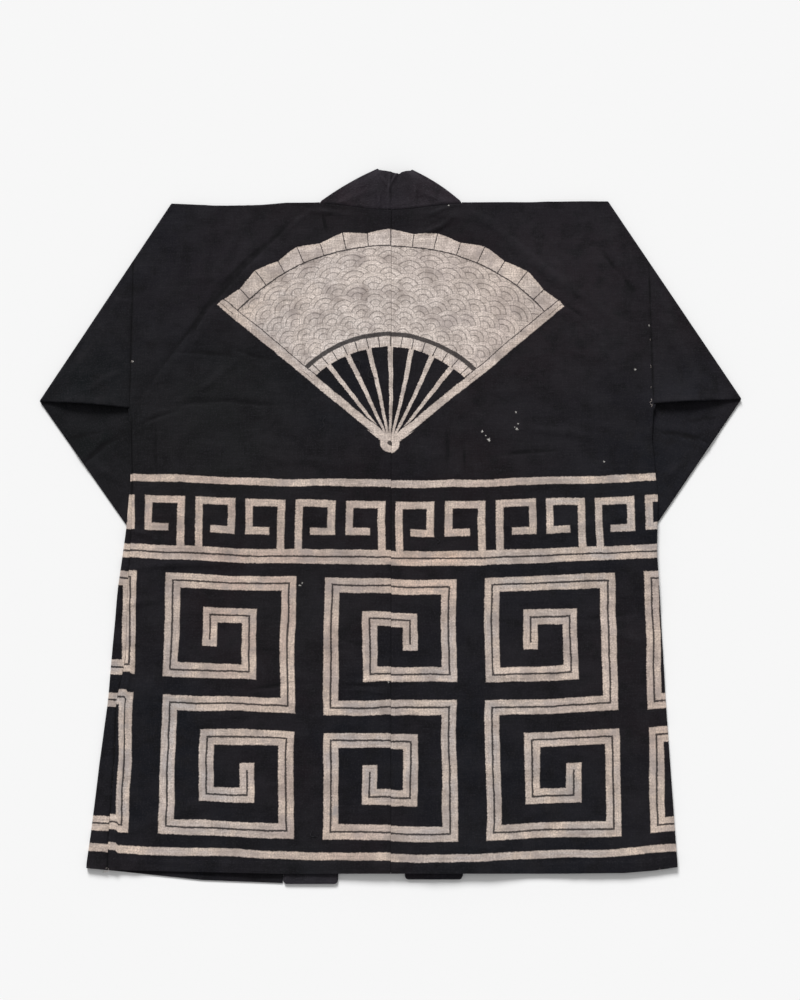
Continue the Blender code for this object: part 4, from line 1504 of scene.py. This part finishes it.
def pale_specks(flat):
    """Ragged pale specks at the places in the table."""
    level = scaled(flat, 1.0, 1.0, 0.0)
    scale, reach = RAGGED
    ragged = (noise(level, scale, 3.0) - 0.5) * reach
    away = [vector("DISTANCE", level, (row["x"], row["y"], 0.0)) - row["size"] for row in each(SPECKS)]
    return [within(lowest(*away) + ragged, 0.0, LINE_BLUR)]


# The groups that the cloth's materials share: what makes each, its inputs and its outputs
SHARED = {
    "Plain weave": (plain_weave, {"Flat": "Vector", "Threads": "Float"}, ("Height", "Slub", "Grain")),
    "Dye clouding": (dye_clouding, {"Place": "Vector"}, tuple(CLOUDING)),
    "Resist print": (resist_print, {"Flat": "Vector"}, ("Cream", "Line", "Inner")),
    "Pale specks": (pale_specks, {"Flat": "Vector"}, ("Speck",)),
}


def shared_group(name):
    """The node group of that name, made once."""
    known = bpy.data.node_groups.get(name)
    if known:
        return known
    make, inputs, outputs = SHARED[name]
    tree = bpy.data.node_groups.new(name, "ShaderNodeTree")
    for label, kind in inputs.items():
        tree.interface.new_socket(name=label, in_out="INPUT", socket_type="NodeSocket" + kind)
    for label in outputs:
        tree.interface.new_socket(name=label, in_out="OUTPUT", socket_type="NodeSocketFloat")
    given, result = add_node(tree, "NodeGroupInput"), add_node(tree, "NodeGroupOutput")
    for label, value in zip(outputs, make(*[Field(given.outputs[label]) for label in inputs])):
        feed(result.inputs[label], value)
    return tree


def use_group(tree, name, **inputs):
    """Places a shared group in a material, and returns its outputs by name."""
    node = add_node(tree, "ShaderNodeGroup", inputs, node_tree=shared_group(name))
    return {socket.name: Field(socket) for socket in node.outputs}


def read(tree, kind, output, **settings):
    """An output of a node that needs no input, such as an attribute."""
    return Field(add_node(tree, kind, **settings).outputs[output])


def new_material(name):
    """A new material, with its tree and its shader."""
    material = bpy.data.materials.new(name)
    material.use_nodes = True
    return material, material.node_tree, material.node_tree.nodes["Principled BSDF"]


def undyed(flat, weave, cloud, marks, cream):
    """The cream cloth of the print, uneven, stained and dusty, with painted shade where the weave's slubs
    are low, and paler along its edges.
    """
    colour = mix(cloud["Warmth"], tinted(cream, GREY_CREAM), tinted(cream, PINK_CREAM))
    colour = layered(colour, cream, (cloud["Tone"] * 0.40, CLEAN_CREAM), (cloud["Fade"] * 0.85, CLEAN_CREAM))
    stained = wavered(flat, 0.05, 30.0, 3.0, scaled(flat, 1.0, 1.0, 0.0))
    colour = dabbed(colour, NO_TINT, stained, STAINS, 0.2)
    colour = layered(
        colour,
        cream,
        ((marks["Cream"] - marks["Inner"]) * 0.30, CLEAN_CREAM),
        # Painted shade in the weave's hollows, where the slubs are low
        (step(weave["Slub"], 0.62, 0.36) * 0.45, DUSTY_AND_SHADED_CREAM),
        (step(weave["Grain"], 0.60, 0.36) * 0.60, DUSTY_AND_SHADED_CREAM),
        (step(noise(flat, 34.0, 3.0, 0.6), 0.50, 0.68) * 0.60, SOILED_CREAM),
        (cloud["Blotch"] * 0.55, DUSTY_AND_SHADED_CREAM),
    )
    return mix(step(noise(flat, 210.0), 0.70, 0.76) * 0.5, colour, FLECK)


def cotton(name, dye, threads, cream=None):
    """Cotton cloth dyed near black, with weave, clouding and wear, painted highlight on crease ridges and
    painted shade in crease troughs and seams, and the print if it has cream.
    """
    known = bpy.data.materials.get(name)
    if known:
        return known
    material, tree, surface = new_material(name)
    flat = read(tree, "ShaderNodeAttribute", "Vector", attribute_name="flat")
    edge = read(tree, "ShaderNodeAttribute", "Fac", attribute_name="edge")
    crease = read(tree, "ShaderNodeAttribute", "Fac", attribute_name="crease")
    place = read(tree, "ShaderNodeTexCoord", "Object")
    weave = use_group(tree, "Plain weave", Flat=flat, Threads=threads)
    cloud = use_group(tree, "Dye clouding", Place=place)
    uneven = step(noise(place, 70.0, 3.0, 0.6), 0.30, 0.60)
    colour = mix(cloud["Warmth"], tinted(dye, COOL_DYE), tinted(dye, WARM_DYE))
    colour = dabbed(colour, dye, scaled(place, 1.0, 1.0, 0.0), PATCHES, 0.0)
    colour = layered(
        colour,
        dye,
        (cloud["Tone"] * 0.45, FADED_DYE),
        (cloud["Blotch"] * 0.74, DEEP_DYE_AND_SHADE),
        (cloud["Fade"] * 0.20, WORN_DYE_AND_HIGHLIGHT),
        (step(weave["Slub"], 0.50, 0.70) * 0.25, WORN_DYE_AND_HIGHLIGHT),
        (step(weave["Grain"], 0.50, 0.68) * 0.50, WORN_DYE_AND_HIGHLIGHT),
        # Crease ridges: worn dye with painted highlight
        (step(crease, 0.35, 1.30) * uneven * 0.20, WORN_DYE_AND_HIGHLIGHT),
        # Crease troughs and sunken seams: painted shade
        (step(crease, -0.15, -1.00) * (uneven * 0.55 + 0.30), DEEP_DYE_AND_SHADE),
        (edge * step(noise(place, 90.0, 4.0, 0.6), 0.40, 0.62) * 0.55, RUBBED_DYE),
    )
    if cream is not None:
        marks = use_group(tree, "Resist print", Flat=flat)
        bare = highest(marks["Cream"] - marks["Line"] * 0.90, 0.0)
        colour = mix(bare, colour, undyed(flat, weave, cloud, marks, cream))
    colour = mix(use_group(tree, "Pale specks", Flat=flat)["Speck"], colour, SPECK)
    feed(surface.inputs["Base Color"], colour)
    feed(surface.inputs["Normal"], bumped(weave["Height"], *WEAVE_BUMP))
    rough = {0: weave["Slub"], 1: 0.3, 2: 0.7, 3: 0.98, 4: 0.84}
    feed(surface.inputs["Roughness"], work_out("ShaderNodeMapRange", rough))
    feed(surface.inputs["Specular IOR Level"], 0.08)
    feed(surface.inputs["Sheen Weight"], 0.03)
    feed(surface.inputs["Sheen Roughness"], 0.5)
    return material


def thread_material(name, colour):
    """Twisted sewing thread: fine slanting strands along it."""
    material, tree, surface = new_material(name)
    place = read(tree, "ShaderNodeTexCoord", "Object")
    strand = noise(scaled(place, 1.0, 0.4), STRANDS)
    dark, light = (tinted(colour, shades) for shades in STRAND_SHADES)
    feed(surface.inputs["Base Color"], mix(step(strand, 0.4, 0.6), dark, light))
    feed(surface.inputs["Normal"], bumped(strand, *STRAND_BUMP))
    feed(surface.inputs["Roughness"], 0.8)
    feed(surface.inputs["Specular IOR Level"], 0.15)
    return material


class HappiCloth(bpy.types.PropertyGroup):
    """Sizes of the cloth."""

    thickness: bpy.props.FloatProperty(
        name="Cloth thickness", description="Thickness of a single layer", default=0.0009, unit="LENGTH"
    )
    band_thickness: bpy.props.FloatProperty(
        name="Band thickness", description="Thickness of the doubled collar", default=0.0023, unit="LENGTH"
    )
    threads: bpy.props.FloatProperty(
        name="Threads", description="Threads in a metre of the weave", default=1150.0
    )


class HappiColours(bpy.types.PropertyGroup):
    """Colours of the cloth."""

    indigo: bpy.props.FloatVectorProperty(
        name="Indigo", description="Dyed cloth", default=SLOT_COLOURS["printed_cotton"], subtype="COLOR"
    )
    band_indigo: bpy.props.FloatVectorProperty(
        name="Band indigo", description="Dyed collar", default=SLOT_COLOURS["collar_cotton"], subtype="COLOR"
    )
    cream: bpy.props.FloatVectorProperty(
        name="Cream", description="Undyed cloth of the print", default=(0.600, 0.526, 0.480), subtype="COLOR"
    )


class HappiStudio(bpy.types.PropertyGroup):
    """The floor, the light and the camera."""

    distance: bpy.props.FloatProperty(
        name="Camera distance", description="From the coat's middle", default=2.10, unit="LENGTH"
    )
    elevation: bpy.props.FloatProperty(
        name="Camera elevation", description="Above the floor", default=math.radians(78), unit="ROTATION"
    )
    lens: bpy.props.FloatProperty(
        name="Lens", description="Focal length in millimetres", default=60.84
    )
    sky: bpy.props.FloatProperty(name="Sky", description="Strength of the even white light", default=0.41)
    sun: bpy.props.FloatProperty(
        name="Sun", description="Strength of the soft light from the collar's side", default=3.5
    )


class HAPPI_OT_body(bpy.types.Operator):
    """Make the two printed loom widths of the body"""

    bl_idname = "happi.body"
    bl_label = "Body"

    def execute(self, context):
        sizes, colours = context.scene.happi_cloth, context.scene.happi_colours
        material = cotton("printed cotton", colours.indigo, sizes.threads, colours.cream)
        for side in SIGN:
            points, faces, flat = body_layout(side, sizes.thickness)
            if side == "right":
                flat = flat + (0.0, RIGHT_PRINT_UP, 0.0)
            piece = cloth_object("body_cloth_" + side, points, faces, flat, material, side)
            settle_object(piece)
            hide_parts("body_" + side)
        plain = cotton("plain cotton", colours.indigo, sizes.threads)
        strip = cloth_object("back_seam_allowance", *allowance_layout(sizes.thickness), plain)
        settle_object(strip, lift=-ALLOWANCE_DEPTH)
        return {"FINISHED"}


class HAPPI_OT_sleeves(bpy.types.Operator):
    """Make the two sleeves, folded under"""

    bl_idname = "happi.sleeves"
    bl_label = "Sleeves"

    def execute(self, context):
        sizes, colours = context.scene.happi_cloth, context.scene.happi_colours
        material = cotton("plain cotton", colours.indigo, sizes.threads)
        for side in SIGN:
            points, faces, flat = sleeve_layout(side, sizes.thickness)
            piece = cloth_object("sleeve_cloth_" + side, points, faces, flat, material, side)
            settle_object(piece)
            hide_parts("sleeve_" + side)
        return {"FINISHED"}


class HAPPI_OT_collar(bpy.types.Operator):
    """Make the doubled collar band"""

    bl_idname = "happi.collar"
    bl_label = "Collar"

    def execute(self, context):
        sizes, colours = context.scene.happi_cloth, context.scene.happi_colours
        material = cotton("collar cotton", tinted(colours.band_indigo, BAND_DYE), sizes.threads)
        points, faces, flat = collar_layout(sizes.band_thickness)
        piece = cloth_object("collar_band", points, faces, flat, material)
        settle_object(piece, settle_collar, collar_relief)
        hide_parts("collar")
        return {"FINISHED"}


class HAPPI_OT_threads(bpy.types.Operator):
    """Sew the hem and the collar's seam, and leave some loose ends of thread"""

    bl_idname = "happi.threads"
    bl_label = "Threads"

    def execute(self, context):
        colours = context.scene.happi_colours
        dark = thread_material("indigo thread", tinted(colours.indigo, THREAD_DYE))
        pale = thread_material("undyed thread", colours.cream)
        hem_x = np.arange(*HEM_STITCHES, HEM_STITCH_EVERY)
        hem_y = look_up(BACK_HEM, "y", "x", hem_x) + HEM_FOLD
        thread_object("hem_stitches", stitch_routes(hem_x, hem_y), THREAD, dark)
        neck_x = np.arange(*SEAM_STITCHES, SEAM_STITCH_EVERY)
        neck_y = neck_seam(neck_x) - SEAM_STITCH_IN
        thread_object("neck_stitches", stitch_routes(neck_x, neck_y, SEAM_STITCH_SLANT), THREAD, dark)
        thread_object("loose_dark_threads", loose_routes(LOOSE_DARK), THICK_THREAD, dark)
        thread_object("loose_pale_threads", loose_routes(LOOSE_PALE), FINE_THREAD, pale)
        return {"FINISHED"}


class HAPPI_OT_studio(bpy.types.Operator):
    """Make the pale floor, the soft light and the camera"""

    bl_idname = "happi.studio"
    bl_label = "Studio"

    def execute(self, context):
        studio = context.scene.happi_studio
        make_floor()
        make_light(studio.sky, studio.sun)
        make_camera(studio.distance, studio.elevation, studio.lens)
        return {"FINISHED"}


def make_floor():
    """A wide plain floor just below the cloth."""
    mesh = bpy.data.meshes.new("floor")
    corners = [(x * FLOOR_HALF, y * FLOOR_HALF, FLOOR_Z) for x, y in ((-1, -1), (1, -1), (1, 1), (-1, 1))]
    mesh.from_pydata(corners, [], [(0, 1, 2, 3)])
    floor = bpy.data.objects.new("floor", mesh)
    bpy.context.scene.collection.objects.link(floor)
    material, _, surface = new_material("pale floor")
    feed(surface.inputs["Base Color"], FLOOR)
    feed(surface.inputs["Roughness"], 1.0)
    feed(surface.inputs["Specular IOR Level"], 0.0)
    mesh.materials.append(material)


def make_light(sky, sun):
    """An even white surround, and one wide soft light from beyond the collar."""
    world = bpy.data.worlds.new("surround")
    world.use_nodes = True
    background = world.node_tree.nodes["Background"]
    feed(background.inputs["Color"], (1, 1, 1))
    feed(background.inputs["Strength"], sky)
    bpy.context.scene.world = world
    lamp = bpy.data.lights.new("soft light", "SUN")
    lamp.energy = sun
    lamp.angle = SUN_WIDTH
    light = bpy.data.objects.new("soft light", lamp)
    light.rotation_euler = SUN_TURN
    bpy.context.scene.collection.objects.link(light)
    bpy.context.scene.view_settings.view_transform = "Standard"


def make_camera(distance, elevation, lens):
    """A camera over the hem's side that looks down on the middle of the coat."""
    low, high = np.array(CAD_BOX)
    aim = np.array([*((low + high)[:2] / 2 + AIM), AIM_Z])
    back = np.array([0, -math.cos(elevation), math.sin(elevation)])
    camera = bpy.data.cameras.new("camera")
    camera.lens = lens
    camera.clip_end = CLIP_END
    holder = bpy.data.objects.new("camera", camera)
    holder.location = aim + distance * back
    holder.rotation_euler = (math.pi / 2 - elevation, 0, 0)
    bpy.context.scene.collection.objects.link(holder)
    bpy.context.scene.camera = holder


class HAPPI_PT_panel(bpy.types.Panel):
    """Lists the coat's pieces"""

    bl_idname = "HAPPI_PT_panel"
    bl_label = "Happi coat"
    bl_space_type = "VIEW_3D"
    bl_region_type = "UI"
    bl_category = "Happi coat"

    def draw(self, context):
        for group in (context.scene.happi_cloth, context.scene.happi_colours, context.scene.happi_studio):
            for name in group.bl_rna.properties.keys()[2:]:
                self.layout.prop(group, name)
        for operator in OPERATORS:
            self.layout.operator(operator.bl_idname)


OPERATORS = (HAPPI_OT_body, HAPPI_OT_sleeves, HAPPI_OT_collar, HAPPI_OT_threads, HAPPI_OT_studio)
GROUPS = {"happi_cloth": HappiCloth, "happi_colours": HappiColours, "happi_studio": HappiStudio}


def register():
    for kind in (*GROUPS.values(), *OPERATORS, HAPPI_PT_panel):
        bpy.utils.register_class(kind)
    for name, kind in GROUPS.items():
        setattr(bpy.types.Scene, name, bpy.props.PointerProperty(type=kind))


def unregister():
    for name in GROUPS:
        delattr(bpy.types.Scene, name)
    for kind in (HAPPI_PT_panel, *OPERATORS, *reversed(GROUPS.values())):
        bpy.utils.unregister_class(kind)


def main():
    register()
    bpy.ops.happi.body()
    bpy.ops.happi.sleeves()
    bpy.ops.happi.collar()
    bpy.ops.happi.threads()
    bpy.ops.happi.studio()
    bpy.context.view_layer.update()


if __name__ == "__main__":
    main()
